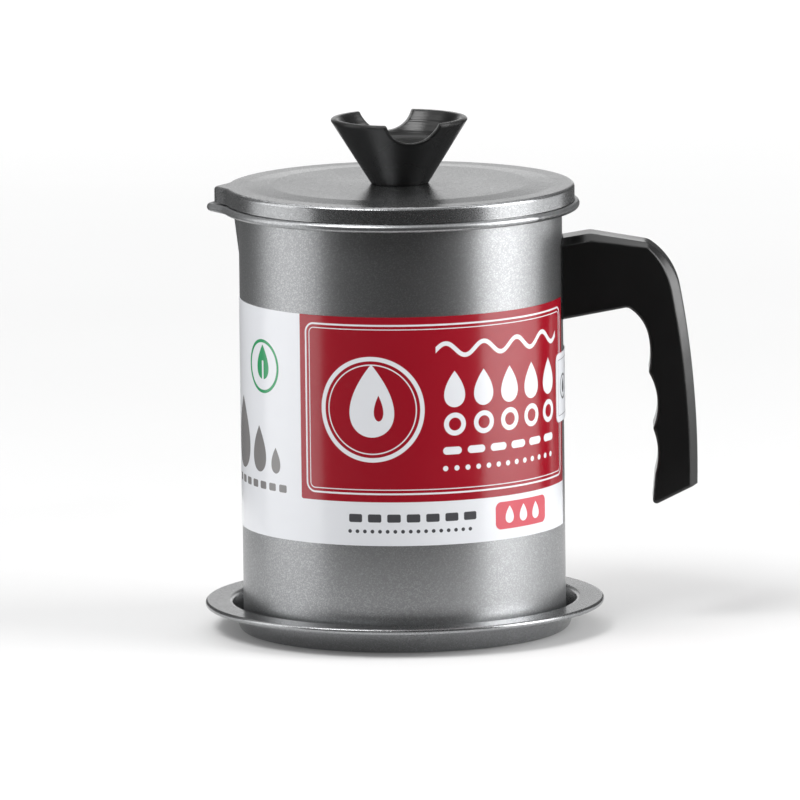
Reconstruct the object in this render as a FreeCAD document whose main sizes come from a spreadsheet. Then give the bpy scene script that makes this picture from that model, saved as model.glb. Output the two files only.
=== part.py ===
import FreeCAD, Part
import math
import os

import Sketcher

# Bacon grease container: a drawn steel pot with a pouring beak and a side handle, a lid with a
# notched knob, a strainer that hangs in the mouth, and a drip tray that the pot stands in.
# Millimetres, +Z up. The origin is the centre of the tray's underside, on the pot's axis.
# The beak points to -X and the handle to +X.

SIZES = {
    # drip tray
    "tray_sheet": 0.6,
    "tray_clearance": 1.0,
    "tray_wall_run": 3.0,
    "tray_flange_width": 9.0,
    "tray_height": 10.1,
    "tray_hem_width": 3.2,
    "tray_hem_thickness": 2.0,
    "tray_hem_round": 0.9,
    "tray_base_bend": 2.0,
    "tray_mouth_bend": 1.3,
    # pot
    "pot_sheet": 0.6,
    "pot_radius": 55.0,
    "pot_base_bend": 3.0,
    "pot_foot_width": 11.0,
    "base_panel_rise": 0.8,
    "shelf_height": 146.3,
    "shelf_bend": 1.8,
    "shelf_width": 4.7,
    "bead_radius": 1.35,
    "bead_crest": 0.3,
    # beak: the outline shared by the pot's bead and the lid
    "beak_reach": 4.65,
    "lid_beak_reach": 3.7,
    "beak_tip_radius": 4.5,
    "beak_root_radius": 14.0,
    "beak_flank_angle": 60.0,
    # spout pulled out of the wall under the beak
    "spout_pull": 2.0,
    "spout_half_width": 9.0,
    "spout_drop": 20.0,
    "spout_low_depth": 0.35,
    "spout_low_half_width": 1.0,
    # lid
    "lid_sheet": 0.7,
    "lid_inset": 0.3,
    "lid_skirt": 5.4,
    "lid_seat_gap": 0.25,
    "lid_edge_bend": 1.2,
    "lid_rim_width": 7.0,
    "panel_slope_run": 8.5,
    "panel_rise": 0.4,
    # knob
    "knob_height": 22.4,
    "knob_base_radius": 9.7,
    "knob_rim_radius": 23.7,
    "knob_wall": 2.9,
    "knob_floor": 13.4,
    "knob_bowl_bend": 6.0,
    "knob_rim_bend": 0.6,
    "notch_radius": 10.0,
    "notch_axis_rise": 3.3,
    "notch_turn": 13.8,
    "insert_radius": 3.2,
    "insert_length": 7.0,
    "thread_clearance": 0.05,
    "screw_radius": 2.0,
    "screw_clearance": 0.2,
    "screw_head_radius": 3.8,
    "screw_head_height": 2.2,
    "knob_screw_grip": 5.5,
    "washer_radius": 6.0,
    "washer_thickness": 0.8,
    # strainer
    "strainer_sheet": 0.6,
    "strainer_flange_gap": 0.7,
    "strainer_clearance": 0.6,
    "strainer_depth": 20.0,
    "strainer_bend": 1.6,
    "strainer_foot_bend": 0.54,
    "strainer_ledge_width": 5.7,
    "mesh_thickness": 0.6,
    "mesh_sag": 4.0,
    "mesh_edge_clearance": 0.2,
    "ring_sheet": 0.6,
    "ring_height": 3.6,
    # label
    "label_thickness": 0.2,
    "paste_gap": 0.05,
    "label_bottom": 36.6,
    "label_height": 77.9,
    "label_half_gap": 11.0,
    "seal_drop": 9.7,
    "seal_height": 23.5,
    "seal_half_angle": 19.0,
    "seal_corner": 2.6,
    # handle
    "handle_width": 17.0,
    "bevel_depth": 3.0,
    "bevel_root": 2.4,
    "bevel_apex": 2.2,
    "bevel_shoulder": 1.5,
    "bevel_elbow": 2.9,
    "bevel_toe": 2.4,
    "handle_edge_round": 0.9,
    "handle_wall_gap": 0.1,
    "root_overrun": 5.5,
    "root_slope": 2.4,
    "apex_run": 9.5,
    "apex_drop": 10.9,
    "shoulder_run": 19.6,
    "shoulder_drop": 3.4,
    "elbow_run": 10.8,
    "elbow_drop": 15.9,
    "spine_radius": 322.0,
    "arm_depth": 25.2,
    "underside_slope": 4.9,
    "armpit_inset": 17.9,
    "throat_run": 7.0,
    "throat_drop": 10.2,
    "high_ridge_inset": 0.1,
    "high_ridge_drop": 12.2,
    "high_groove_radius": 22.0,
    "ridge_lean": 1.3,
    "ridge_spacing": 19.3,
    "low_groove_radius": 24.0,
    "lip_run": 0.6,
    "lip_drop": 15.6,
    "heel_inset": 1.1,
    "heel_drop": 11.2,
    "toe_run": 15.5,
    "toe_rise": 7.5,
    "armpit_radius": 15.0,
    "apex_round": 7.0,
    "shoulder_round": 7.0,
    "ridge_round": 1.5,
    "groove_round": 6.0,
    "armpit_round": 2.5,
    "heel_round": 1.3,
    # bracket inside the handle
    "bracket_sheet": 1.5,
    "bracket_half_angle": 5.6,
    "bracket_height": 18.0,
    "bracket_foot": 9.0,
    "tongue_drop": 16.7,
    "tongue_length": 26.0,
    "bracket_clearance": 0.25,
    "handle_screw_run": 17.0,
    "handle_screw_wall": 5.5,
    "handle_screw_length": 9.0,
    "counterbore_clearance": 0.5,
    "screw_tip_room": 1.0,
    "screw_slot_width": 0.9,
    "screw_slot_depth": 1.0,
    "screw_head_round": 0.8,
}


class Dim:
    """A size or a sum of sizes: the expression that binds it, and its value now."""

    def __init__(self, text, value):
        self.text = text
        self.value = value

    def __add__(self, other):
        other = as_dim(other)
        return Dim(f"({self.text} + {other.text})", self.value + other.value)

    def __sub__(self, other):
        other = as_dim(other)
        return Dim(f"({self.text} - {other.text})", self.value - other.value)

    def __mul__(self, other):
        other = as_dim(other)
        return Dim(f"({self.text} * {other.text})", self.value * other.value)

    def __truediv__(self, other):
        other = as_dim(other)
        return Dim(f"({self.text} / {other.text})", self.value / other.value)

    def __neg__(self):
        return Dim(f"(0 - {self.text})", -self.value)


def as_dim(number):
    return number if isinstance(number, Dim) else Dim(repr(float(number)), float(number))


def root(dim):
    return Dim(f"sqrt({dim.text})", math.sqrt(dim.value))


def sine(dim):
    return Dim(f"sin({dim.text} * 1 deg)", math.sin(math.radians(dim.value)))


def size(name):
    return Dim(f"Sizes.{name}", SIZES[name])


ZERO = as_dim(0)
SMOOTH = object()

doc = FreeCAD.newDocument("grease_container")
sheet = doc.addObject("Spreadsheet::Sheet", "Sizes")
for row, (alias, number) in enumerate(SIZES.items(), start=1):
    sheet.set(f"A{row}", alias)
    sheet.set(f"B{row}", str(number))
    sheet.setAlias(f"B{row}", alias)
doc.recompute()

# Heights and radii that several pieces share
POT_BASE = size("tray_sheet")
SHELF = size("shelf_height")
BEAD_LINE = size("pot_radius") + size("shelf_width")
BEAD_HEIGHT = SHELF + size("bead_crest") - size("bead_radius")
LID_RADIUS = BEAD_LINE - size("lid_inset")
SKIRT_BOTTOM = SHELF + size("bead_crest") + size("lid_seat_gap")
LID_TOP = SKIRT_BOTTOM + size("lid_skirt")
PANEL_TOP = LID_TOP + size("panel_rise")
POT_BORE = size("pot_radius") - size("pot_sheet")
STRAINER_WALL = POT_BORE - size("strainer_clearance")
STRAINER_BORE = STRAINER_WALL - size("strainer_sheet")
LEDGE_TOP = SHELF - size("strainer_depth") + size("strainer_sheet")
# The channel's wedge runs on past the wall, this many times the size of the pulled wedge
CHANNEL_SPREAD = as_dim(2)
# The handle's bevel cut starts this share of its depth early and ends as late, to leave no skin
BEVEL_OVERRUN = as_dim(0.2)


def offset(point, run, rise):
    return point[0] + run, point[1] + rise


# Corners of the handle's outline as (reach, height), each placed from the one before it
APEX = (size("pot_radius") + size("apex_run"), SHELF - size("apex_drop"))
SHOULDER = offset(APEX, size("shoulder_run"), -size("shoulder_drop"))
ELBOW = offset(SHOULDER, size("elbow_run"), -size("elbow_drop"))
ARMPIT = (ELBOW[0] - size("armpit_inset"), APEX[1] - size("arm_depth"))
THROAT = offset(ARMPIT, size("throat_run"), -size("throat_drop"))
HIGH_RIDGE = offset(THROAT, -size("high_ridge_inset"), -size("high_ridge_drop"))
LOW_RIDGE = offset(HIGH_RIDGE, size("ridge_lean"), -size("ridge_spacing"))
LIP_TOP = offset(LOW_RIDGE, size("lip_run"), -size("lip_drop"))
HEEL = offset(LIP_TOP, -size("heel_inset"), -size("heel_drop"))
TOE = offset(HEEL, size("toe_run"), size("toe_rise"))
ROOT_TOP = APEX[1] - size("root_slope")
ROOT_BOTTOM = ARMPIT[1] - size("underside_slope")
GRIP_MIDDLE = HEEL[0] + size("toe_run") / 2

# The bracket in the handle and its screw
TONGUE = APEX[1] - size("tongue_drop")
TONGUE_END = size("pot_radius") + size("tongue_length")
BRACKET_BOTTOM = TONGUE - size("bracket_foot")
PLATE_HALF_WIDTH = (size("pot_radius") + size("bracket_sheet")) * sine(size("bracket_half_angle"))
TONGUE_HALF_WIDTH = size("pot_radius") * sine(size("bracket_half_angle"))
HANDLE_SCREW_REACH = size("pot_radius") + size("handle_screw_run")
HANDLE_SCREW_SEAT = TONGUE - size("handle_screw_wall")


# ---------------------------------------------------------------- sketch and feature helpers

def new_body(label):
    body = doc.addObject("PartDesign::Body", label)
    body.Label = label
    return body


def bind(target, prop, dim):
    """Set a property from a size and keep it bound to the sheet."""
    target.setExpression(prop, dim.text)


def new_sketch(body, name, role, offset=ZERO):
    """A sketch on one of the body's own origin planes, moved along the plane's normal."""
    sketch = body.newObject("Sketcher::SketchObject", name)
    plane = next(item for item in body.Origin.OriginFeatures if item.Role == role)
    sketch.AttachmentSupport = [(plane, "")]
    sketch.MapMode = "FlatFace"
    sketch.AttachmentOffset = FreeCAD.Placement(
        FreeCAD.Vector(0, 0, offset.value), FreeCAD.Rotation())
    if offset is not ZERO:
        bind(sketch, "AttachmentOffset.Base.z", offset)
    return sketch


def pin_point(sketch, geometry, end, point):
    """Hold a vertex at the coordinates given by two sizes."""
    for kind, axis, dim in (("DistanceX", -2, point[0]), ("DistanceY", -1, point[1])):
        if dim.value == 0:
            sketch.addConstraint(Sketcher.Constraint("PointOnObject", geometry, end, axis))
        elif dim.value > 0:
            index = sketch.addConstraint(
                Sketcher.Constraint(kind, -1, 1, geometry, end, dim.value))
            bind(sketch, f"Constraints[{index}]", dim)
        else:
            index = sketch.addConstraint(
                Sketcher.Constraint(kind, geometry, end, -1, 1, -dim.value))
            bind(sketch, f"Constraints[{index}]", -dim)


def vector(point):
    return FreeCAD.Vector(as_dim(point[0]).value, as_dim(point[1]).value, 0)


def add_arc(sketch, centre, radius, first, last):
    """An arc drawn turning left from one point to another."""
    start = math.atan2(first.y - centre.y, first.x - centre.x)
    end = math.atan2(last.y - centre.y, last.x - centre.x)
    if end <= start:
        end += 2 * math.pi
    circle = Part.Circle(centre, FreeCAD.Vector(0, 0, 1), radius)
    return sketch.addGeometry(Part.ArcOfCircle(circle, start, end), False)


def hold_radius(sketch, geometry, radius):
    held = sketch.addConstraint(Sketcher.Constraint("Radius", geometry, radius.value))
    bind(sketch, f"Constraints[{held}]", radius)


def turned(direction, degrees):
    return FreeCAD.Rotation(FreeCAD.Vector(0, 0, 1), degrees).multVec(direction)


def start_direction(start, end, radius, turn):
    """The way an arc sets off from its start."""
    chord = end - start
    return turned(chord, -turn * math.degrees(math.asin(chord.Length / 2 / radius)))


def smooth_radius(start, end, onward):
    """The radius of the arc that ends in a given direction."""
    chord = end - start
    return chord.Length / 2 / math.sin(chord.getAngle(onward))


def draw_profile(sketch, *steps):
    """A closed outline. A step is (x, y) for a straight run to that point, or
    (x, y, radius, turn) for an arc that turns left (1) or right (-1) on its way there.
    An arc whose radius is SMOOTH runs smoothly into the arc that follows it.
    The last step's point is also where the outline starts."""
    points = [(as_dim(step[0]), as_dim(step[1])) for step in steps]
    ends = []
    for index, step in enumerate(steps):
        start = vector(points[index - 1])
        end = vector(points[index])
        if len(step) == 2:
            geometry = sketch.addGeometry(Part.LineSegment(start, end), False)
            ends.append((geometry, 1, 2))
            continue
        radius, turn = step[2], step[3]
        if radius is SMOOTH:
            after = steps[index + 1]
            onward = start_direction(end, vector(points[index + 1]), after[2].value, after[3])
            length = smooth_radius(start, end, onward)
        else:
            length = radius.value
        chord = end - start
        rise = math.sqrt(length ** 2 - chord.Length ** 2 / 4)
        side = FreeCAD.Vector(-chord.y, chord.x, 0).normalize() * turn
        centre = (start + end) * 0.5 + side * rise
        if turn > 0:
            ends.append((add_arc(sketch, centre, length, start, end), 1, 2))
        else:
            ends.append((add_arc(sketch, centre, length, end, start), 2, 1))
        if radius is not SMOOTH:
            hold_radius(sketch, ends[-1][0], radius)
    for index, (geometry, _, last) in enumerate(ends):
        following, next_first, _ = ends[(index + 1) % len(ends)]
        smooth = len(steps[index]) > 2 and steps[index][2] is SMOOTH
        sketch.addConstraint(Sketcher.Constraint(
            "Tangent" if smooth else "Coincident", geometry, last, following, next_first))
        pin_point(sketch, geometry, last, points[index])


def draw_circle(sketch, radius, x=ZERO, y=ZERO):
    centre = FreeCAD.Vector(x.value, y.value, 0)
    circle = Part.Circle(centre, FreeCAD.Vector(0, 0, 1), radius.value)
    geometry = sketch.addGeometry(circle, False)
    hold_radius(sketch, geometry, radius)
    pin_point(sketch, geometry, 3, (x, y))


def draw_beak_outline(sketch, radius, reach):
    """A circle that runs out into a blunt beak towards -X: the plan of the bead and the lid.
    Circle, hollow root arcs, straight flanks and round tip run smoothly into each other."""
    tip_radius = size("beak_tip_radius")
    root_radius = size("beak_root_radius")
    tip_reach = radius + reach - tip_radius
    angle = size("beak_flank_angle")
    flank = math.radians(angle.value)
    tip = FreeCAD.Vector(-tip_reach.value, 0, 0)
    along = FreeCAD.Vector(math.cos(flank), math.sin(flank), 0)
    outward = FreeCAD.Vector(-math.sin(flank), math.cos(flank), 0)
    tip_end = tip + outward * tip_radius.value
    # the root arc touches the flank and the circle from outside
    base = tip_end + outward * root_radius.value
    span = radius.value + root_radius.value
    lead = base.dot(along)
    run = -lead - math.sqrt(lead * lead - base.dot(base) + span * span)
    root_centre = base + along * run
    flank_end = tip_end + along * run
    circle_end = root_centre * (radius.value / span)

    def below(point):
        return FreeCAD.Vector(point.x, -point.y, 0)

    def held_arc(centre, held_radius, first, last):
        geometry = add_arc(sketch, centre, held_radius.value, first, last)
        hold_radius(sketch, geometry, held_radius)
        return geometry

    rim = held_arc(FreeCAD.Vector(), radius, below(circle_end), circle_end)
    upper_root = held_arc(root_centre, root_radius, flank_end, circle_end)
    upper_flank = sketch.addGeometry(Part.LineSegment(tip_end, flank_end), False)
    tip_arc = held_arc(tip, tip_radius, tip_end, below(tip_end))
    lower_flank = sketch.addGeometry(Part.LineSegment(below(flank_end), below(tip_end)), False)
    lower_root = held_arc(below(root_centre), root_radius, below(circle_end), below(flank_end))
    joins = (
        (rim, 2, upper_root, 2), (upper_root, 1, upper_flank, 2), (upper_flank, 1, tip_arc, 1),
        (tip_arc, 2, lower_flank, 2), (lower_flank, 1, lower_root, 2), (lower_root, 1, rim, 1))
    for join in joins:
        sketch.addConstraint(Sketcher.Constraint("Tangent", *join))
    pin_point(sketch, rim, 3, (ZERO, ZERO))
    pin_point(sketch, tip_arc, 3, (-tip_reach, ZERO))
    for line, held_angle in ((upper_flank, angle), (lower_flank, as_dim(180) - angle)):
        held = sketch.addConstraint(
            Sketcher.Constraint("Angle", line, math.radians(held_angle.value)))
        bind(sketch, f"Constraints[{held}]", held_angle)


def revolve(body, name, sketch, angle=None):
    feature = body.newObject("PartDesign::Revolution", name)
    feature.Profile = sketch
    feature.ReferenceAxis = (sketch, ["V_Axis"])
    feature.Angle = 360 if angle is None else angle.value
    if angle is not None:
        feature.Midplane = True
        bind(feature, "Angle", angle)
    doc.recompute()
    return feature


def pad(body, name, sketch, length, symmetric=False, kind="PartDesign::Pad", reversed_way=False):
    feature = body.newObject(kind, name)
    feature.Profile = sketch
    feature.SideType = "Symmetric" if symmetric else "One side"
    feature.Reversed = reversed_way
    feature.Length = length.value
    bind(feature, "Length", length)
    doc.recompute()
    return feature


def pocket(body, name, sketch, length, symmetric=False, reversed_way=False):
    """Cut along the sketch's normal, and make sure that material went."""
    before = body.Shape.Volume
    feature = pad(body, name, sketch, length, symmetric, "PartDesign::Pocket", reversed_way)
    if not body.Shape.Volume < before - 1e-6:
        raise RuntimeError(f"{name} cuts nothing")
    return feature


def loft(body, name, kind, first, second):
    feature = body.newObject(kind, name)
    feature.Profile = first
    feature.Sections = [second]
    feature.Ruled = True
    doc.recompute()
    return feature


def fillet(body, name, base, chosen, dim):
    """Round the edges of a feature that a test picks."""
    names = [f"Edge{index}" for index, edge in enumerate(base.Shape.Edges, start=1)
             if chosen(edge)]
    if not names:
        raise RuntimeError(f"{name} finds no edge")
    feature = body.newObject("PartDesign::Fillet", name)
    feature.Base = (base, names)
    feature.Radius = dim.value
    bind(feature, "Radius", dim)
    doc.recompute()
    return feature


def ring_at(radius, height):
    """Picks round edges about the Z axis by their radius and height."""
    def chosen(edge):
        curve = edge.Curve
        return (isinstance(curve, Part.Circle)
                and math.hypot(curve.Center.x, curve.Center.y) < 1e-3
                and abs(curve.Radius - radius.value) < 1e-3
                and abs(curve.Center.z - height.value) < 1e-3)
    return chosen


# ---------------------------------------------------------------------------------- drip tray

def make_drip_tray():
    """Pressed saucer: flat floor, sloping wall, wide flange with its edge folded under."""
    body = new_body("drip_tray")
    sheet_t = size("tray_sheet")
    base = size("pot_radius") + size("tray_clearance")
    mouth = base + size("tray_wall_run")
    rim = mouth + size("tray_flange_width")
    top = size("tray_height")
    hem = rim - size("tray_hem_width")
    hem_low = top - size("tray_hem_thickness")
    profile = new_sketch(body, "tray_profile", "XZ_Plane")
    draw_profile(
        profile, (ZERO, ZERO), (base, ZERO), (mouth + sheet_t, top - sheet_t),
        (hem, top - sheet_t), (hem, hem_low), (rim, hem_low), (rim, top),
        (mouth, top), (base - sheet_t, sheet_t), (ZERO, sheet_t))
    pressed = revolve(body, "tray_pressing", profile)
    foot = fillet(body, "tray_foot_bend", pressed, ring_at(base, ZERO), size("tray_base_bend"))
    floor = fillet(body, "tray_floor_bend", foot, ring_at(base - sheet_t, sheet_t),
                   size("tray_base_bend") - sheet_t)
    mouth_bend = fillet(body, "tray_mouth_bend_top", floor, ring_at(mouth, top),
                        size("tray_mouth_bend"))
    fillet(body, "tray_hem_edge", mouth_bend,
           lambda edge: ring_at(rim, top)(edge) or ring_at(rim, hem_low)(edge),
           size("tray_hem_round"))


# ---------------------------------------------------------------------------------------- pot

def make_pot_body():
    """Drawn pot: wall and stamped base, shelf round the mouth, pulled spout, curled bead."""
    body = new_body("pot_body")
    sheet_t = size("pot_sheet")
    outer = size("pot_radius")
    panel = outer - size("pot_foot_width")
    rise = size("base_panel_rise")
    profile = new_sketch(body, "pot_profile", "XZ_Plane")
    draw_profile(
        profile, (ZERO, POT_BASE + rise), (panel, POT_BASE + rise), (panel + rise, POT_BASE),
        (outer, POT_BASE), (outer, SHELF), (POT_BORE, SHELF), (POT_BORE, POT_BASE + sheet_t),
        (panel + rise, POT_BASE + sheet_t), (panel, POT_BASE + rise + sheet_t),
        (ZERO, POT_BASE + rise + sheet_t))
    drawn = revolve(body, "pot_drawing", profile)
    base_bend = fillet(body, "pot_base_bend_out", drawn, ring_at(outer, POT_BASE),
                       size("pot_base_bend"))
    fillet(body, "pot_base_bend_in", base_bend, ring_at(POT_BORE, POT_BASE + sheet_t),
           size("pot_base_bend") - sheet_t)

    shelf = new_sketch(body, "shelf_outline", "XY_Plane", SHELF - sheet_t)
    draw_beak_outline(shelf, BEAD_LINE, size("beak_reach"))
    draw_circle(shelf, POT_BORE)
    plate = pad(body, "shelf_plate", shelf, sheet_t)
    bend_out = fillet(body, "shelf_bend_out", plate, ring_at(outer, SHELF - sheet_t),
                      size("shelf_bend") - sheet_t)
    fillet(body, "shelf_bend_in", bend_out, ring_at(POT_BORE, SHELF), size("shelf_bend"))
    make_spout(body)

    path = new_sketch(body, "bead_path", "XY_Plane", BEAD_HEIGHT)
    draw_beak_outline(path, BEAD_LINE, size("beak_reach"))
    section = new_sketch(body, "bead_section", "XZ_Plane")
    draw_circle(section, size("bead_radius"), BEAD_LINE, BEAD_HEIGHT)
    doc.recompute()
    bead = body.newObject("PartDesign::AdditivePipe", "curled_bead")
    bead.Profile = section
    bead.Spine = (path, [f"Edge{index + 1}" for index in range(len(path.Shape.Edges))])
    doc.recompute()


def make_spout(body):
    """The wall pulled out into a V under the beak, and the channel that this leaves inside."""
    sheet_t = size("pot_sheet")
    outer = size("pot_radius")
    half_width = size("spout_half_width")
    tip = outer + size("spout_pull")
    wall_middle = outer - sheet_t / 2
    depth = tip - root(wall_middle * wall_middle - half_width * half_width)
    low = SHELF - size("spout_drop")
    low_depth = size("spout_low_depth")
    low_half_width = size("spout_low_half_width")
    # the wall's thickness, measured along the channel's middle
    inset = sheet_t * root(depth * depth + half_width * half_width) / half_width

    def wedge(name, height, point, run, spread):
        sketch = new_sketch(body, name, "XY_Plane", height)
        draw_profile(sketch, (-point, ZERO), (run - point, spread), (run - point, -spread))
        return sketch

    loft(body, "spout_pull_out", "PartDesign::AdditiveLoft",
         wedge("spout_top", SHELF - sheet_t / 2, tip, depth, half_width),
         wedge("spout_low", low, wall_middle, low_depth, low_half_width))
    loft(body, "spout_channel", "PartDesign::SubtractiveLoft",
         wedge("channel_top", SHELF + sheet_t, tip - inset, depth * CHANNEL_SPREAD,
               half_width * CHANNEL_SPREAD),
         wedge("channel_low", low, wall_middle - inset, low_depth * CHANNEL_SPREAD,
               low_half_width * CHANNEL_SPREAD))


# ------------------------------------------------------------------------------------- labels

def make_band(label, inner, bottom, height, half_angle, at_handle):
    """A strip of paper wrapped round the wall, over an arc centred on +X or on -X."""
    body = new_body(label)
    side = 1 if at_handle else -1
    near = inner * side
    far = (inner + size("label_thickness")) * side
    profile = new_sketch(body, label + "_profile", "XZ_Plane")
    draw_profile(profile, (near, bottom), (far, bottom), (far, bottom + height),
                 (near, bottom + height))
    wrapped = revolve(body, label + "_wrap", profile, half_angle * 2)
    return body, wrapped


def make_labels():
    """The paper band, open at the handle, and the sticker that bridges its ends."""
    pasted = size("pot_radius") + size("paste_gap")
    make_band("label_band", pasted, size("label_bottom"), size("label_height"),
              as_dim(180) - size("label_half_gap"), False)
    inner = pasted + size("label_thickness")
    seal_bottom = ROOT_BOTTOM - size("seal_drop") - size("seal_height")
    body, wrapped = make_band("label_seal", inner, seal_bottom, size("seal_height"),
                              size("seal_half_angle"), True)
    fillet(body, "seal_corners", wrapped,
           lambda edge: abs(edge.Length - SIZES["label_thickness"]) < 1e-6, size("seal_corner"))


# ------------------------------------------------------------------------------------- handle

def make_handle_grip():
    """Moulded arm and grip: bevelled back, two finger ridges, pockets for the bracket."""
    body = new_body("handle_grip")
    behind_wall = size("pot_radius") - size("root_overrun")
    outline = new_sketch(body, "handle_outline", "XZ_Plane")
    draw_profile(
        outline, (behind_wall, ROOT_BOTTOM), (behind_wall, ROOT_TOP), APEX, SHOULDER,
        (*ELBOW, SMOOTH, -1), (*TOE, size("spine_radius"), -1), HEEL, LIP_TOP,
        (*LOW_RIDGE, size("low_groove_radius"), 1), (*HIGH_RIDGE, size("high_groove_radius"), 1),
        (*THROAT, SMOOTH, 1), (*ARMPIT, size("armpit_radius"), 1))
    pad(body, "handle_block", outline, size("handle_width"), symmetric=True)
    round_handle(body)
    bevel_back(body, "near_bevel", 1)
    bevel_back(body, "far_bevel", -1)
    cut_handle_pockets(body)


def round_handle(body):
    """Soften the outline's corners and round the edges that the fingers hold."""
    half = SIZES["handle_width"] / 2
    wall = SIZES["pot_radius"]

    def across(corner):
        """Picks the edge that crosses the handle at one corner of the outline."""
        def chosen(edge):
            middle = edge.CenterOfMass
            return (abs(middle.y) < 1e-6 and abs(middle.x - corner[0].value) < 1e-3
                    and abs(middle.z - corner[1].value) < 1e-3)
        return chosen

    def on_side(edge):
        return all(abs(abs(vertex.Y) - half) < 1e-6 for vertex in edge.Vertexes) \
            and abs(abs(edge.CenterOfMass.y) - half) < 1e-6

    def along_front(edge):
        middle = edge.CenterOfMass
        return (on_side(edge) and wall < middle.x < GRIP_MIDDLE.value
                and middle.z < ARMPIT[1].value)

    for name, corner, rounding in (
            ("apex", APEX, "apex_round"), ("shoulder", SHOULDER, "shoulder_round"),
            ("armpit", ARMPIT, "armpit_round"), ("high_ridge", HIGH_RIDGE, "ridge_round"),
            ("low_ridge", LOW_RIDGE, "ridge_round"), ("lip_top", LIP_TOP, "groove_round"),
            ("heel", HEEL, "heel_round")):
        fillet(body, f"{name}_rounding", body.Tip, across(corner), size(rounding))
    fillet(body, "grip_edges", body.Tip, along_front, size("handle_edge_round"))


def bevel_back(body, name, side):
    """Cut a bevel along the back of one side, wide at the elbow and narrow on the arm."""
    face = size("handle_width") / 2
    depth = size("bevel_depth")
    behind_wall = size("pot_radius") - size("root_overrun")
    clear = APEX[1] + size("handle_width")
    beyond = TOE[0] + size("handle_width")

    def strip(label, inward, share):
        """What the cut takes at one depth: its share is 1 at the face and 0 at full depth."""
        sketch = new_sketch(body, f"{name}_{label}", "XZ_Plane", (face - depth * inward) * side)
        end = offset(TOE, -size("bevel_toe") * share, -size("handle_width"))
        draw_profile(
            sketch, (behind_wall, clear), (behind_wall, ROOT_TOP - size("bevel_root") * share),
            offset(APEX, ZERO, -size("bevel_apex") * share),
            offset(SHOULDER, ZERO, -size("bevel_shoulder") * share),
            (*offset(ELBOW, -size("bevel_elbow") * share, ZERO), SMOOTH, -1),
            (*offset(TOE, -size("bevel_toe") * share, ZERO), size("spine_radius"), -1),
            end, (beyond, end[1]), (beyond, clear))
        return sketch

    full = as_dim(1) + BEVEL_OVERRUN
    loft(body, name, "PartDesign::SubtractiveLoft",
         strip("outer", -BEVEL_OVERRUN, full), strip("inner", full, -BEVEL_OVERRUN))


def cut_handle_pockets(body):
    """Seat the root on the wall, and make room for the bracket and its screw."""
    gap = size("bracket_clearance")
    seat = new_sketch(body, "wall_seat", "XY_Plane")
    draw_circle(seat, size("pot_radius") + size("handle_wall_gap"))
    pocket(body, "root_cut", seat, APEX[1] * 2 + size("handle_width"), symmetric=True)

    def slot(name, half_width, bottom, top, reach):
        sketch = new_sketch(body, name, "YZ_Plane")
        draw_profile(sketch, (-half_width, bottom), (half_width, bottom), (half_width, top),
                     (-half_width, top))
        pocket(body, name + "_cut", sketch, reach * 2, symmetric=True)

    slot("plate_recess", PLATE_HALF_WIDTH + gap, BRACKET_BOTTOM - gap,
         BRACKET_BOTTOM + size("bracket_height") + gap,
         size("pot_radius") + size("bracket_sheet") + gap)
    slot("tongue_slot", TONGUE_HALF_WIDTH + gap, TONGUE - gap,
         TONGUE + size("bracket_sheet") + gap, TONGUE_END + gap)

    tip = HANDLE_SCREW_SEAT + size("handle_screw_length") + size("screw_tip_room")
    bore = new_sketch(body, "screw_bore", "XY_Plane", tip)
    draw_circle(bore, size("screw_radius") + size("screw_clearance"), HANDLE_SCREW_REACH)
    pocket(body, "screw_bore_cut", bore, tip - ROOT_BOTTOM)
    counterbore = new_sketch(body, "counterbore", "XY_Plane", HANDLE_SCREW_SEAT)
    draw_circle(counterbore, size("screw_head_radius") + size("counterbore_clearance"),
                HANDLE_SCREW_REACH)
    pocket(body, "counterbore_cut", counterbore, HANDLE_SCREW_SEAT - ROOT_BOTTOM)


def make_handle_bracket():
    """Steel plate bent to the wall, with a tongue that the handle slides over."""
    body = new_body("handle_bracket")
    wall = size("pot_radius")
    sheet_t = size("bracket_sheet")
    top = BRACKET_BOTTOM + size("bracket_height")
    profile = new_sketch(body, "plate_profile", "XZ_Plane")
    draw_profile(profile, (wall, BRACKET_BOTTOM), (wall + sheet_t, BRACKET_BOTTOM),
                 (wall + sheet_t, top), (wall, top))
    revolve(body, "wall_plate", profile, size("bracket_half_angle") * 2)
    start = wall + sheet_t / 2
    section = new_sketch(body, "tongue_section", "YZ_Plane", start)
    draw_profile(section, (-TONGUE_HALF_WIDTH, TONGUE), (TONGUE_HALF_WIDTH, TONGUE),
                 (TONGUE_HALF_WIDTH, TONGUE + sheet_t), (-TONGUE_HALF_WIDTH, TONGUE + sheet_t))
    pad(body, "tongue", section, TONGUE_END - start)
    hole = new_sketch(body, "tongue_thread", "XY_Plane", TONGUE + sheet_t)
    draw_circle(hole, size("screw_radius") + size("thread_clearance"), HANDLE_SCREW_REACH)
    pocket(body, "tongue_thread_cut", hole, sheet_t)


# -------------------------------------------------------------------------------- fasteners

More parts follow.
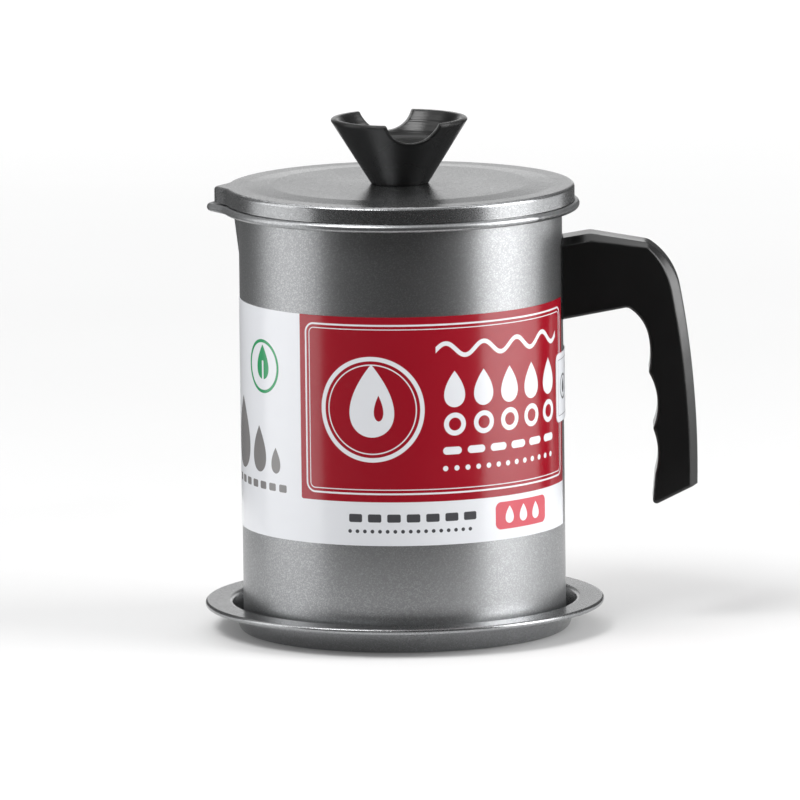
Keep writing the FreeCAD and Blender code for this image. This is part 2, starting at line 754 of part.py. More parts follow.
def make_screw(label, reach, seat, length):
    """A pan head screw that points up, with its head's bearing face at the seat height."""
    body = new_body(label)
    shank = size("screw_radius")
    head = size("screw_head_radius")
    head_height = size("screw_head_height")
    profile = new_sketch(body, label + "_profile", "XZ_Plane")
    draw_profile(profile, (ZERO, -head_height), (head, -head_height), (head, ZERO),
                 (shank, ZERO), (shank, length), (ZERO, length))
    turned = revolve(body, label + "_turned", profile)
    fillet(body, label + "_head_round", turned, ring_at(head, -head_height),
           size("screw_head_round"))
    slot = new_sketch(body, label + "_slot", "XZ_Plane")
    half = size("screw_slot_width") / 2
    draw_profile(slot, (-half, -head_height * 2), (half, -head_height * 2),
                 (half, size("screw_slot_depth") - head_height),
                 (-half, size("screw_slot_depth") - head_height))
    pocket(body, label + "_slot_cut", slot, head * 4, symmetric=True)
    place(body, reach, seat)


def place(body, reach, height, turn=ZERO):
    """Put a body on its seat, turned about its own upright axis."""
    body.Placement = FreeCAD.Placement(
        FreeCAD.Vector(reach.value, 0, height.value),
        FreeCAD.Rotation(FreeCAD.Vector(0, 0, 1), turn.value))
    bind(body, "Placement.Base.x", reach)
    bind(body, "Placement.Base.z", height)
    bind(body, "Placement.Rotation.Angle", turn)


def make_ring(label, bore, outer, height, seat):
    body = new_body(label)
    profile = new_sketch(body, label + "_profile", "XZ_Plane")
    draw_profile(profile, (bore, ZERO), (outer, ZERO), (outer, height), (bore, height))
    revolve(body, label + "_turned", profile)
    place(body, ZERO, seat)


def make_fasteners():
    """The screws of handle and knob, the knob's washer and its threaded insert."""
    make_screw("handle_screw", HANDLE_SCREW_REACH, HANDLE_SCREW_SEAT,
               size("handle_screw_length"))
    washer = size("washer_thickness")
    under_panel = PANEL_TOP - size("lid_sheet")
    make_screw("knob_screw", ZERO, under_panel - washer,
               washer + size("lid_sheet") + size("knob_screw_grip"))
    make_ring("knob_washer", size("screw_radius") + size("screw_clearance"),
              size("washer_radius"), washer, under_panel - washer)
    make_ring("knob_insert", size("screw_radius") + size("thread_clearance"),
              size("insert_radius"), size("insert_length"), PANEL_TOP)


# ---------------------------------------------------------------------------------------- lid

def make_lid_shell():
    """Pressed lid: a skirt with the pot's beak, and a middle raised over a shallow cone."""
    body = new_body("lid_shell")
    sheet_t = size("lid_sheet")
    foot = LID_RADIUS - size("lid_rim_width")
    panel = foot - size("panel_slope_run")
    outline = new_sketch(body, "lid_outline", "XY_Plane", SKIRT_BOTTOM)
    draw_beak_outline(outline, LID_RADIUS, size("lid_beak_reach"))
    blank = pad(body, "lid_blank", outline, size("lid_skirt"))

    def top_edge(edge):
        box = edge.BoundBox
        return abs(box.ZMin - LID_TOP.value) < 1e-4 and abs(box.ZMax - LID_TOP.value) < 1e-4

    fillet(body, "lid_edge_bend", blank, top_edge, size("lid_edge_bend"))
    hollow = new_sketch(body, "lid_hollow", "XY_Plane", SKIRT_BOTTOM)
    draw_beak_outline(hollow, LID_RADIUS - sheet_t, size("lid_beak_reach"))
    pocket(body, "lid_hollow_cut", hollow, size("lid_skirt") - sheet_t, reversed_way=True)
    opening = new_sketch(body, "panel_opening", "XY_Plane", LID_TOP)
    draw_circle(opening, foot)
    pocket(body, "panel_opening_cut", opening, sheet_t)
    bore = size("screw_radius") + size("screw_clearance")
    profile = new_sketch(body, "panel_profile", "XZ_Plane")
    draw_profile(profile, (bore, PANEL_TOP - sheet_t), (panel, PANEL_TOP - sheet_t),
                 (foot, LID_TOP - sheet_t), (foot, LID_TOP), (panel, PANEL_TOP),
                 (bore, PANEL_TOP))
    revolve(body, "raised_panel", profile)


def make_lid_knob():
    """Cone-shaped cup with a round notch cut across its rim, screwed to the lid."""
    body = new_body("lid_knob")
    height = size("knob_height")
    base = size("knob_base_radius")
    rim = size("knob_rim_radius")
    wall = size("knob_wall")
    floor = size("knob_floor")
    slope = (rim - base) / height
    floor_radius = rim - wall - slope * (height - floor)
    pit = size("insert_radius")
    depth = size("insert_length")
    profile = new_sketch(body, "knob_profile", "XZ_Plane")
    draw_profile(profile, (pit, ZERO), (base, ZERO), (rim, height), (rim - wall, height),
                 (floor_radius, floor), (ZERO, floor), (ZERO, depth), (pit, depth))
    cup = revolve(body, "knob_cup", profile)
    bowl = fillet(body, "bowl_bend", cup, ring_at(floor_radius, floor), size("knob_bowl_bend"))
    fillet(body, "rim_bend", bowl,
           lambda edge: ring_at(rim, height)(edge) or ring_at(rim - wall, height)(edge),
           size("knob_rim_bend"))
    notch = new_sketch(body, "notch", "XZ_Plane")
    draw_circle(notch, size("notch_radius"), ZERO, height + size("notch_axis_rise"))
    pocket(body, "notch_cut", notch, rim * 3, symmetric=True)
    place(body, ZERO, PANEL_TOP, size("notch_turn"))


# ----------------------------------------------------------------------------------- strainer

def make_strainer():
    """A drawn frame that hangs on the pot's shelf, a dished mesh and the ring that holds it."""
    sheet_t = size("strainer_sheet")
    flange = BEAD_LINE - size("bead_radius") - size("strainer_flange_gap")
    ledge = STRAINER_BORE - size("strainer_ledge_width")
    bottom = LEDGE_TOP - sheet_t
    frame = new_body("strainer_frame")
    profile = new_sketch(frame, "frame_profile", "XZ_Plane")
    draw_profile(
        profile, (flange, SHELF), (flange, SHELF + sheet_t), (STRAINER_BORE, SHELF + sheet_t),
        (STRAINER_BORE, LEDGE_TOP), (ledge, LEDGE_TOP), (ledge, bottom),
        (STRAINER_WALL, bottom), (STRAINER_WALL, SHELF))
    drawn = revolve(frame, "frame_drawing", profile)
    lip = fillet(frame, "frame_lip_bend", drawn, ring_at(STRAINER_BORE, SHELF + sheet_t),
                 size("strainer_bend"))
    under = fillet(frame, "frame_under_bend", lip, ring_at(STRAINER_WALL, SHELF),
                   size("strainer_bend") - sheet_t)
    fillet(frame, "frame_foot_bend", under, ring_at(STRAINER_WALL, bottom),
           size("strainer_foot_bend"))

    mesh_t = size("mesh_thickness")
    sag = size("mesh_sag")
    dome = ledge - sheet_t
    # the radius of an arc through the dish's edge and its lowest point
    dish = (dome * dome + sag * sag) / (sag * 2)
    edge = STRAINER_BORE - size("mesh_edge_clearance")
    mesh = new_body("strainer_mesh")
    profile = new_sketch(mesh, "mesh_profile", "XZ_Plane")
    draw_profile(
        profile, (ZERO, LEDGE_TOP - sag), (dome, LEDGE_TOP, dish, 1), (edge, LEDGE_TOP),
        (edge, LEDGE_TOP + mesh_t), (dome, LEDGE_TOP + mesh_t),
        (ZERO, LEDGE_TOP + mesh_t - sag, dish, -1))
    revolve(mesh, "mesh_dish", profile)

    ring_t = size("ring_sheet")
    low = LEDGE_TOP + mesh_t
    ring = new_body("mesh_ring")
    profile = new_sketch(ring, "ring_profile", "XZ_Plane")
    draw_profile(
        profile, (ledge, low), (edge, low), (edge, low + size("ring_height")),
        (edge - ring_t, low + size("ring_height")), (edge - ring_t, low + ring_t),
        (ledge, low + ring_t))
    revolve(ring, "ring_drawing", profile)


# ------------------------------------------------------------------------------------ writing

def check_document():
    for item in doc.Objects:
        if "Invalid" in item.State or "Error" in item.State:
            raise RuntimeError(f"{item.Name} failed: {item.State}")


def write_parts(nodes):
    os.makedirs("parts", exist_ok=True)
    for node in nodes:
        shape = node.Shape
        if shape.isNull() or not shape.isValid():
            raise RuntimeError(f"{node.Label} has no valid shape")
    for node in nodes:
        node.Shape.exportStep(f"parts/{node.Label}.step")
        print(node.Label, len(node.Shape.Solids), round(node.Shape.Volume, 1))


make_drip_tray()
make_pot_body()
make_labels()
make_handle_grip()
make_handle_bracket()
make_fasteners()
make_lid_shell()
make_lid_knob()
make_strainer()
doc.recompute()
check_document()
write_parts([item for item in doc.Objects if item.TypeId == "PartDesign::Body"])
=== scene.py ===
# %% [markdown]
# # A bacon grease container in its finishes
# The frame holds fifteen solids that already have their true size and place. This lesson dresses
# them: grey non-stick coating on the pressed steel, black plastic on handle and knob, a printed
# paper band, and a woven wire mesh in the strainer. Each step first says what the piece or finish
# is on the real object, and then makes it.

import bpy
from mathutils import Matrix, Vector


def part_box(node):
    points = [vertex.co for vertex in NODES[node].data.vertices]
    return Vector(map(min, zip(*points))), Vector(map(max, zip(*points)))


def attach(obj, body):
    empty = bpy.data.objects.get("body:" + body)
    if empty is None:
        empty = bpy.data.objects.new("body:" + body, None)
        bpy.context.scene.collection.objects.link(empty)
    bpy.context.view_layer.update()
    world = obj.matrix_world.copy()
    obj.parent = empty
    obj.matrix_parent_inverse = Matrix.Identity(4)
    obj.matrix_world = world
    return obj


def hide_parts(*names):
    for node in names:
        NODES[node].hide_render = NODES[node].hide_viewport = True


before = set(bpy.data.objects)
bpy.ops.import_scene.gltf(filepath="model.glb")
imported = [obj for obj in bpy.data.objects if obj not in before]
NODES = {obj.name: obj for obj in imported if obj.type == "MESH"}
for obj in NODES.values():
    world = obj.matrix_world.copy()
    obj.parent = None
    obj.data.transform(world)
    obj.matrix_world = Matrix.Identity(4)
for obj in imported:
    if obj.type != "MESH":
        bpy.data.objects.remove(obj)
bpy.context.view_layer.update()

# %% [markdown]
# ## Units and colours
# Blender counts in metres, and this object is easier to think of in millimetres, so sizes are
# written in millimetres and multiplied by MM. Shaders count colour as an amount of light, while
# people pick colours from a screen's 0 to 255, so one helper turns the second into the first.

# %% Units and small helpers
import math

import bpy
from mathutils import Quaternion, Vector

MM = 0.001


def srgb(red, green, blue):
    """A colour given as 0 to 255 on a screen, as the light it stands for."""
    def light(value):
        value = value / 255
        return value / 12.92 if value <= 0.04045 else ((value + 0.055) / 1.055) ** 2.4
    return light(red), light(green), light(blue), 1.0


def grey(value):
    """An even grey that sends back this share of the light."""
    return value, value, value, 1.0


def tinted(tone, tint):
    """A grey tone with a slight tint, given as the three shares of red, green and blue."""
    return tuple(tone * share for share in tint) + (1.0,)


bpy.context.scene.view_settings.view_transform = "Standard"
print("one millimetre is", MM, "of Blender's units")

# %% [markdown]
# ## The camera
# A long lens stands far away and a little above the lid, so the cylinder's sides stay almost
# parallel and both the lid and the tray show as flat ellipses. The camera also leans by less than
# a degree, because a hand-levelled one does. A quaternion turns it: one turn aims it at the
# object's middle, and a second, about its own line of sight, adds the lean.

# %% Place the camera
EYE = Vector((0.04697, -4.8725, 0.8251))
AIM = Vector((-0.00083, 0.0, 0.0780))
LEAN = math.radians(-0.693)
LENS_MM = 651.2
NEAREST, FARTHEST = 0.1, 60.0


def place_camera():
    """Add the camera, aim it and make it the scene's own."""
    lens = bpy.data.cameras.new("long_lens")
    lens.lens = LENS_MM
    lens.clip_start, lens.clip_end = NEAREST, FARTHEST
    camera = bpy.data.objects.new("camera", lens)
    bpy.context.scene.collection.objects.link(camera)
    camera.location = EYE
    camera.rotation_mode = "QUATERNION"
    straight = (AIM - EYE).to_track_quat("-Z", "Y")
    camera.rotation_quaternion = straight @ Quaternion((0, 0, 1), LEAN)
    bpy.context.scene.camera = camera
    return camera


print("camera stands", round((AIM - EYE).length, 2), "m away:", place_camera().name)

# %% [markdown]
# ## Node trees written in code
# Every finish below is a tree of nodes. It could be wired by hand in the editor, but a tree in
# code can be read, repeated and changed in one place. A small class keeps the recipes short: it
# adds a node, fills its sockets with numbers or links, and hands back the socket that the next
# step needs.

# %% A short way to write node trees
class Recipe:
    """Adds nodes to one tree and joins them."""

    def __init__(self, tree):
        self.tree = tree

    def node(self, kind, *values, **settings):
        """Add a node, set its own settings by name and its sockets in their order."""
        made = self.tree.nodes.new(kind)
        for name, value in settings.items():
            setattr(made, name, value)
        for index, value in enumerate(values):
            self.fill(made.inputs[index], value)
        return made

    def fill(self, socket, value):
        """Link a socket, or set it to a plain value; None leaves it alone."""
        if value is None:
            return
        if isinstance(value, bpy.types.NodeSocket):
            self.tree.links.new(value, socket)
        else:
            socket.default_value = value

    def math(self, operation, *values):
        return self.node("ShaderNodeMath", *values, operation=operation).outputs[0]

    def clamp(self, value):
        return self.node("ShaderNodeClamp", value, 0.0, 1.0).outputs[0]

    def distance(self, x, y):
        """How far a point lies from 0, 0."""
        squares = self.math("MULTIPLY", x, x), self.math("MULTIPLY", y, y)
        return self.math("SQRT", self.math("ADD", *squares))

    def per_metre(self, size):
        """A texture's scale for features of a size in millimetres."""
        return self.math("DIVIDE", 1.0 / MM, size)

    def noise(self, place, scale):
        return self.node("ShaderNodeTexNoise", place, None, scale).outputs["Fac"]

    def mix(self, factor, first, second):
        """The first colour where the factor is 0, and the second where it is 1."""
        made = self.node("ShaderNodeMix", data_type="RGBA")
        for name, value in (("Factor_Float", factor), ("A_Color", first), ("B_Color", second)):
            self.fill(next(s for s in made.inputs if s.identifier == name), value)
        return next(s for s in made.outputs if s.identifier == "Result_Color")

    def ramp(self, value, start, end):
        """A smooth mask that is 0 at the start and 1 at the end."""
        return self.node("ShaderNodeMapRange", value, start, end, 0.0, 1.0,
                         interpolation_type="SMOOTHSTEP").outputs[0]

    def spread(self, value, low, high):
        """A mask from 0 to 1 turned into a range of values."""
        return self.node("ShaderNodeMapRange", value, 0.0, 1.0, low, high).outputs[0]

    def around(self, value, middle, swing):
        """A mask from 0 to 1 turned into a range with this middle."""
        return self.spread(value, middle - swing, middle + swing)

    def bump(self, height, strength, depth, normal=None):
        """A normal that leans as if the surface rose and fell by this depth."""
        made = self.node("ShaderNodeBump")
        made.inputs["Strength"].default_value = strength
        made.inputs["Distance"].default_value = depth
        self.fill(made.inputs["Height"], height)
        self.fill(made.inputs["Normal"], normal)
        return made.outputs["Normal"]

    def group(self, tree, **values):
        """Place a node group; an underscore in a name stands for the space in its socket's."""
        made = self.node("ShaderNodeGroup", node_tree=tree)
        for name, value in values.items():
            self.fill(made.inputs[name.replace("_", " ")], value)
        return made.outputs


def new_group(name, inputs, outputs):
    """A shader node group with named sockets, and the recipe and ends to build it with."""
    tree = bpy.data.node_groups.new(name, "ShaderNodeTree")
    for label, default in inputs.items():
        kind = "NodeSocketVector" if default is None else "NodeSocketFloat"
        socket = tree.interface.new_socket(label, in_out="INPUT", socket_type=kind)
        if default is not None:
            socket.default_value = default
    for label in outputs:
        tree.interface.new_socket(label, in_out="OUTPUT", socket_type="NodeSocketFloat")
    recipe = Recipe(tree)
    given, out = recipe.node("NodeGroupInput").outputs, recipe.node("NodeGroupOutput").inputs
    return tree, recipe, given, out


def new_material(name, **constants):
    """A material with a Principled shader whose plain values are set on its own sockets."""
    material = bpy.data.materials.new(name)
    material.use_nodes = True
    shader = material.node_tree.nodes["Principled BSDF"]
    for label, value in constants.items():
        shader.inputs[label.replace("_", " ")].default_value = value
    recipe = Recipe(material.node_tree)
    place = recipe.node("ShaderNodeTexCoord").outputs["Object"]
    return material, recipe, shader.inputs, place


print("recipes ready")

# %% [markdown]
# ## Effects that several finishes share
# A sprayed coating carries metal flake: tiny plates that lie at slightly different angles, so
# some catch the light. A cell pattern a quarter to a third of a millimetre across, with a random
# value in each cell, gives that. Under it the film's thickness wanders over centimetres. Moulded
# plastic and paper each have a fine grain of their own, and hands and cloths leave faint soft
# smears on all of them. Brushed and drawn steel carries fine lines along one direction. Sharp
# edges are touched most, so they are a little paler and smoother than the faces beside them, in
# patches; on the black plastic the paler edge is also a painted highlight along the creases.
# Images could hold all this, but patterns worked out from the place of each point stay sharp
# close up, need no unwrapping, and take the sizes that each material gives them.

# %% Flake, film, grain, smear, drawn lines and worn edges
PEEL_SCALE = 0.55
FLAKE_TILT = 0.6


def build_flake():
    """Metal flake in small cells, a film that wanders, and the height of both."""
    tree, recipe, given, out = new_group(
        "sprayed_flake", {"Place": None, "Flake Size": 0.2, "Film Size": 40.0},
        ("Flake", "Film", "Height"))
    per_flake = recipe.per_metre(given["Flake Size"])
    cells = recipe.node("ShaderNodeTexVoronoi", given["Place"], None, per_flake)
    shine, tilt, _ = recipe.node("ShaderNodeSeparateColor", cells.outputs["Color"]).outputs
    peel = recipe.noise(given["Place"], recipe.math("MULTIPLY", per_flake, PEEL_SCALE))
    recipe.fill(out["Flake"], shine)
    recipe.fill(out["Film"], recipe.noise(given["Place"], recipe.per_metre(given["Film Size"])))
    recipe.fill(out["Height"], recipe.math("MULTIPLY_ADD", tilt, FLAKE_TILT, peel))
    return tree


def build_grain():
    """A fine even grain, and smears many times wider."""
    tree, recipe, given, out = new_group(
        "fine_grain", {"Place": None, "Grain Size": 0.4, "Smear Size": 30.0},
        ("Grain", "Smear"))
    for name in ("Grain", "Smear"):
        scale = recipe.per_metre(given[name + " Size"])
        recipe.fill(out[name], recipe.noise(given["Place"], scale))
    return tree


LINE_TURN = 0.2


def build_lines():
    """Fine lines round the Z axis: noise in which a radian counts as a fifth of a millimetre."""
    tree, recipe, given, out = new_group(
        "turned_lines", {"Place": None, "Line Width": 0.1}, ("Lines",))
    x, y, z = recipe.node("ShaderNodeSeparateXYZ", given["Place"]).outputs
    around = recipe.math("MULTIPLY", recipe.math("ARCTAN2", y, x), LINE_TURN * MM)
    squeezed = recipe.node("ShaderNodeCombineXYZ", recipe.distance(x, y), around, z).outputs[0]
    recipe.fill(out["Lines"], recipe.noise(squeezed, recipe.per_metre(given["Line Width"])))
    return tree


WEAR_RADIUS = 0.6
BEVEL_SAMPLES = 6


def build_wear():
    """Sharp edges, where a rounded normal leaves the true one, worn in patches."""
    tree, recipe, given, out = new_group(
        "worn_edges", {"Place": None, "Patch Size": 6.0}, ("Edge",))
    rounded = recipe.node("ShaderNodeBevel", WEAR_RADIUS * MM, samples=BEVEL_SAMPLES)
    true_normal = recipe.node("ShaderNodeNewGeometry").outputs["Normal"]
    likeness = recipe.node("ShaderNodeVectorMath", rounded.outputs["Normal"], true_normal,
                           operation="DOT_PRODUCT").outputs["Value"]
    sharp = recipe.ramp(likeness, start=0.995, end=0.92)
    patches = recipe.noise(given["Place"], recipe.per_metre(given["Patch Size"]))
    touched = recipe.ramp(patches, start=0.36, end=0.60)
    recipe.fill(out["Edge"], recipe.math("MULTIPLY", sharp, touched))
    return tree


FLAKE = build_flake()
GRAIN = build_grain()
LINES = build_lines()
WEAR = build_wear()
print("shared effects:", FLAKE.name, GRAIN.name, LINES.name, WEAR.name)

# %% [markdown]
# ## The grey non-stick coating
# Pot, lid, tray and strainer frame are pressed steel, sprayed with a neutral grey coating full of
# metal flake and baked. It reflects like a rough metal, darker than bare steel, so one metallic
# shader makes it, and no second layer is needed. The flake drives colour, roughness and a very
# shallow bump, and the wandering film only the roughness. Lid and tray are sprayed thinner and
# smoother than the pot.

# %% Mix the coating for each pressing
DARK_TINT = (0.90, 0.915, 0.93)
FLAKE_TINT = (1.33, 1.35, 1.38)
WORN_TINT = (1.25, 1.25, 1.25)
SPARKLE_POWER = 3.0
COATING_DEPTH = 0.03


def coating(name, tone, roughness, relief, flake_size):
    """Grey coating of a tone and roughness, with its flake in millimetres."""
    material, recipe, shader, place = new_material(name, Metallic=1.0)
    flake = recipe.group(FLAKE, Place=place, Flake_Size=flake_size, Film_Size=35.0)
    sparkle = recipe.math("POWER", flake["Flake"], SPARKLE_POWER)
    worn = recipe.group(WEAR, Place=place, Patch_Size=9.0)["Edge"]
    sprayed = recipe.mix(sparkle, tinted(tone, DARK_TINT), tinted(tone, FLAKE_TINT))
    recipe.fill(shader["Base Color"], recipe.mix(worn, sprayed, tinted(tone, WORN_TINT)))
    rough = recipe.around(flake["Film"], roughness, swing=0.04)
    for mask, smoother in ((sparkle, 0.08), (worn, 0.04)):
        rough = recipe.math("MULTIPLY_ADD", mask, -smoother, rough)
    recipe.fill(shader["Roughness"], rough)
    recipe.fill(shader["Normal"], recipe.bump(flake["Height"], relief, COATING_DEPTH * MM))
    return material


POT_COATING = coating("pot_coating_grey", tone=0.34, roughness=0.38, relief=0.20, flake_size=0.33)
LID_COATING = coating("lid_coating_grey", tone=0.32, roughness=0.29, relief=0.08, flake_size=0.24)
TRAY_COATING = coating("tray_coating_grey", tone=0.31, roughness=0.27, relief=0.08,
                       flake_size=0.24)
STRAINER_COATING = coating("strainer_coating_grey", tone=0.36, roughness=0.36, relief=0.12,
                           flake_size=0.24)
print("coatings mixed for pot, lid, tray and strainer")

# %% [markdown]
# ## Black moulded plastic
# Handle and knob are moulded in black phenolic plastic with a satin surface. The mould is
# spark-eroded, which leaves an even fine grain, and fingers polish it a little, so roughness
# varies slowly as well. The knob's cup also keeps faint rings from its turned mould. The solids
# have crisp edges, and a Bevel node softens only the light on them, which costs no faces.

# %% Mould the plastic
CUP_LOW, CUP_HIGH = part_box("lid_knob")
CUP_BOTTOM = CUP_LOW[2]
CUP_FOOT_RADIUS = 9.7 * MM
CUP_RIM_RADIUS = 23.7 * MM
CUP_SPREAD = (CUP_RIM_RADIUS - CUP_FOOT_RADIUS) / (CUP_HIGH[2] - CUP_BOTTOM)


def inside_of_cup(recipe, place):
    """1 inside the knob's cup and 0 on its outer cone."""
    x, y, z = recipe.node("ShaderNodeSeparateXYZ", place).outputs
    up = recipe.math("SUBTRACT", z, CUP_BOTTOM)
    wall = recipe.math("MULTIPLY_ADD", up, CUP_SPREAD, CUP_FOOT_RADIUS)
    depth = recipe.math("SUBTRACT", wall, recipe.distance(x, y))
    return recipe.ramp(depth, start=0.8 * MM, end=2.2 * MM)


BLACK_CLEAN, BLACK_SMEARED, BLACK_WORN_AND_SHEEN = 0.003, 0.007, 0.045
RING_WIDTH = 1.3
FLOW_DEPTH, GRAIN_DEPTH = 0.5, 0.04


def plastic(name, roughness, swirled, edge_radius, gloss):
    """Black plastic whose edges look rounded to a radius; swirled adds rings in the cup."""
    material, recipe, shader, place = new_material(name, Specular_IOR_Level=gloss)
    fine = recipe.group(GRAIN, Place=place, Grain_Size=0.35, Smear_Size=22.0)
    flow = fine["Smear"]
    if swirled:
        lines = recipe.group(LINES, Place=place, Line_Width=RING_WIDTH)["Lines"]
        flow = recipe.math("MULTIPLY", lines, inside_of_cup(recipe, place))
    worn = recipe.group(WEAR, Place=place, Patch_Size=7.0)["Edge"]
    black = recipe.mix(fine["Smear"], grey(BLACK_CLEAN), grey(BLACK_SMEARED))
    # worn edges turn paler: partly real wear, partly a painted highlight along the creases
    recipe.fill(shader["Base Color"], recipe.mix(worn, black, grey(BLACK_WORN_AND_SHEEN)))
    rough = recipe.around(fine["Smear"], roughness, swing=0.05)
    recipe.fill(shader["Roughness"], recipe.math("MULTIPLY_ADD", worn, -0.05, rough))
    softened = recipe.node("ShaderNodeBevel", edge_radius * MM, samples=BEVEL_SAMPLES)
    moulded = recipe.bump(flow, 0.5, FLOW_DEPTH * MM, softened.outputs["Normal"])
    recipe.fill(shader["Normal"], recipe.bump(fine["Grain"], 0.15, GRAIN_DEPTH * MM, moulded))
    return material


HANDLE_PLASTIC = plastic("handle_plastic_black", roughness=0.22, swirled=False, edge_radius=1.1,
                         gloss=0.5)
KNOB_PLASTIC = plastic("knob_plastic_black", roughness=0.28, swirled=True, edge_radius=1.8,
                       gloss=0.30)
print("plastic mixed for handle and knob")

# %% [markdown]
# ## Bare metals
# The handle's bracket is plain stamped steel, its screw and the knob's screw and washer are zinc
# plated, and the insert in the knob is turned brass. All of them show the fine lines of the tool
# that shaped them, and the stamped steel has a few darker clouds from its heat. They differ only
# in colour, roughness and how fine the lines are, so one function makes all four.

# %% Bare steel, zinc and brass
LINE_DEPTH = 0.02


def bare_metal(name, dark, light, roughness, line_width):
    """Metal between a dark and a light tone, with lines of a width in millimetres."""
    material, recipe, shader, place = new_material(name, Metallic=1.0)
    fine = recipe.group(GRAIN, Place=place, Grain_Size=0.5, Smear_Size=9.0)
    lines = recipe.group(LINES, Place=place, Line_Width=line_width)["Lines"]
    shade = recipe.math("MULTIPLY", recipe.math("ADD", fine["Smear"], lines), 0.5)
    worn = recipe.group(WEAR, Place=place, Patch_Size=4.0)["Edge"]
    shade = recipe.math("MAXIMUM", shade, worn)
    recipe.fill(shader["Base Color"], recipe.mix(shade, dark, light))
    recipe.fill(shader["Roughness"], recipe.around(fine["Smear"], roughness, swing=0.07))
    recipe.fill(shader["Normal"], recipe.bump(lines, 0.3, LINE_DEPTH * MM))
    return material


BRACKET_STEEL = bare_metal("bracket_steel_stamped", grey(0.34), grey(0.52),
                           roughness=0.42, line_width=0.14)
SCREW_ZINC = bare_metal("screw_zinc_bright", grey(0.55), srgb(214, 214, 205),
                        roughness=0.27, line_width=0.08)
INSERT_BRASS = bare_metal("insert_brass_turned", srgb(186, 150, 84), srgb(226, 196, 128),
                          roughness=0.3, line_width=0.1)
MESH_WIRE = bare_metal("mesh_wire_stainless", grey(0.42), grey(0.62),
                       roughness=0.30, line_width=0.08)
print("bare metals: bracket, screws, insert, wire")

# %% [markdown]
# ## A vocabulary for printing
# The paper band and the sticker carry flat printed shapes. Each shape is a mask worked out from
# two distances in millimetres: along the paper, counted round the wall, and up. A group turns a
# point's place into those two, and three more give a drop, a rounded bar and a ring, so that a
# layout is a list of shapes and their places. An image wrapped round the band would do too, but
# it would need a file of its own and blur close up, while a mask's edge is always crisp.

# %% Distances on the wrapped paper
INK_SOFTNESS = 0.14
PAPER_RADIUS = -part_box("label_band")[0][1] / MM


def build_wrap():
    """How far along the paper and how far up it a point lies, from a bearing and a level."""
    tree, recipe, given, out = new_group(
        "wrapped_paper", {"Place": None, "Turn": 0.0, "Bottom": 0.0}, ("Along", "Up"))
    x, y, z = recipe.node("ShaderNodeSeparateXYZ", given["Place"]).outputs
    angle = recipe.math("ARCTAN2", x, recipe.math("MULTIPLY", y, -1.0))
    turned = recipe.math("SUBTRACT", angle, given["Turn"])
    wrapped = recipe.math("WRAP", turned, math.pi, -math.pi)
    recipe.fill(out["Along"], recipe.math("MULTIPLY", wrapped, PAPER_RADIUS))
    recipe.fill(out["Up"], recipe.math("SUBTRACT", recipe.math("DIVIDE", z, MM), given["Bottom"]))
    return tree


WRAP = build_wrap()
print("paper radius:", round(PAPER_RADIUS, 2), "mm")

# %% Printed shapes
def ink(recipe, depth):
    """A mask from a depth in millimetres inside a shape's edge."""
    return recipe.clamp(recipe.math("MULTIPLY_ADD", depth, 1.0 / INK_SOFTNESS, 0.5))


BELLY_SCALE = 1.3


def build_drop():
    """A drop that stands on its round end, with its middle at 0, 0."""
    tree, recipe, given, out = new_group(
        "ink_drop", {"Along": 0.0, "Up": 0.0, "Width": 3.0, "Height": 5.0}, ("Mask",))
    rise = recipe.math("ADD", recipe.math("DIVIDE", given["Up"], given["Height"]), 0.5)
    rise = recipe.clamp(rise)
    # sqrt(t) (1 - t) is 1 / 2.6 at its widest, and a drop's half width is 1 / 2
    belly = recipe.math("MULTIPLY", recipe.math("SQRT", rise), recipe.math("SUBTRACT", 1.0, rise))
    half = recipe.math("MULTIPLY", recipe.math("MULTIPLY", belly, BELLY_SCALE), given["Width"])
    depth = recipe.math("SUBTRACT", half, recipe.math("ABSOLUTE", given["Along"]))
    recipe.fill(out["Mask"], recipe.clamp(recipe.math("DIVIDE", depth, INK_SOFTNESS)))
    return tree


def build_bar():
    """A rounded bar, as a solid shape and as a line drawn a little inside its edge."""
    tree, recipe, given, out = new_group(
        "ink_bar", {"Along": 0.0, "Up": 0.0, "Width": 8.0, "Height": 3.0, "Corner": 1.0,
                    "Inset": 1.0, "Line": 0.4}, ("Mask", "Outline"))

    def past_corner(value, length):
        straight = recipe.math("SUBTRACT", recipe.math("MULTIPLY", given[length], 0.5),
                               given["Corner"])
        return recipe.math("SUBTRACT", recipe.math("ABSOLUTE", given[value]), straight)

    across, upward = past_corner("Along", "Width"), past_corner("Up", "Height")
    outside = recipe.distance(recipe.math("MAXIMUM", across, 0.0),
                              recipe.math("MAXIMUM", upward, 0.0))
    inside = recipe.math("MINIMUM", recipe.math("MAXIMUM", across, upward), 0.0)
    depth = recipe.math("SUBTRACT", given["Corner"], recipe.math("ADD", outside, inside))
    recipe.fill(out["Mask"], ink(recipe, depth))
    off_line = recipe.math("ABSOLUTE", recipe.math("SUBTRACT", depth, given["Inset"]))
    half_line = recipe.math("MULTIPLY", given["Line"], 0.5)
    recipe.fill(out["Outline"], ink(recipe, recipe.math("SUBTRACT", half_line, off_line)))
    return tree


def build_ring():
    """A ring whose line lies inside its radius, and the full disc of that radius."""
    tree, recipe, given, out = new_group(
        "ink_ring", {"Along": 0.0, "Up": 0.0, "Radius": 5.0, "Line": 1.0}, ("Mask", "Disc"))
    from_middle = recipe.distance(given["Along"], given["Up"])
    depth = recipe.math("SUBTRACT", given["Radius"], from_middle)
    recipe.fill(out["Disc"], ink(recipe, depth))
    half_line = recipe.math("MULTIPLY", given["Line"], 0.5)
    off_line = recipe.math("ABSOLUTE", recipe.math("SUBTRACT", depth, half_line))
    recipe.fill(out["Mask"], ink(recipe, recipe.math("SUBTRACT", half_line, off_line)))
    return tree


DROP, BAR, RING = build_drop(), build_bar(), build_ring()
print("printed shapes:", DROP.name, BAR.name, RING.name)

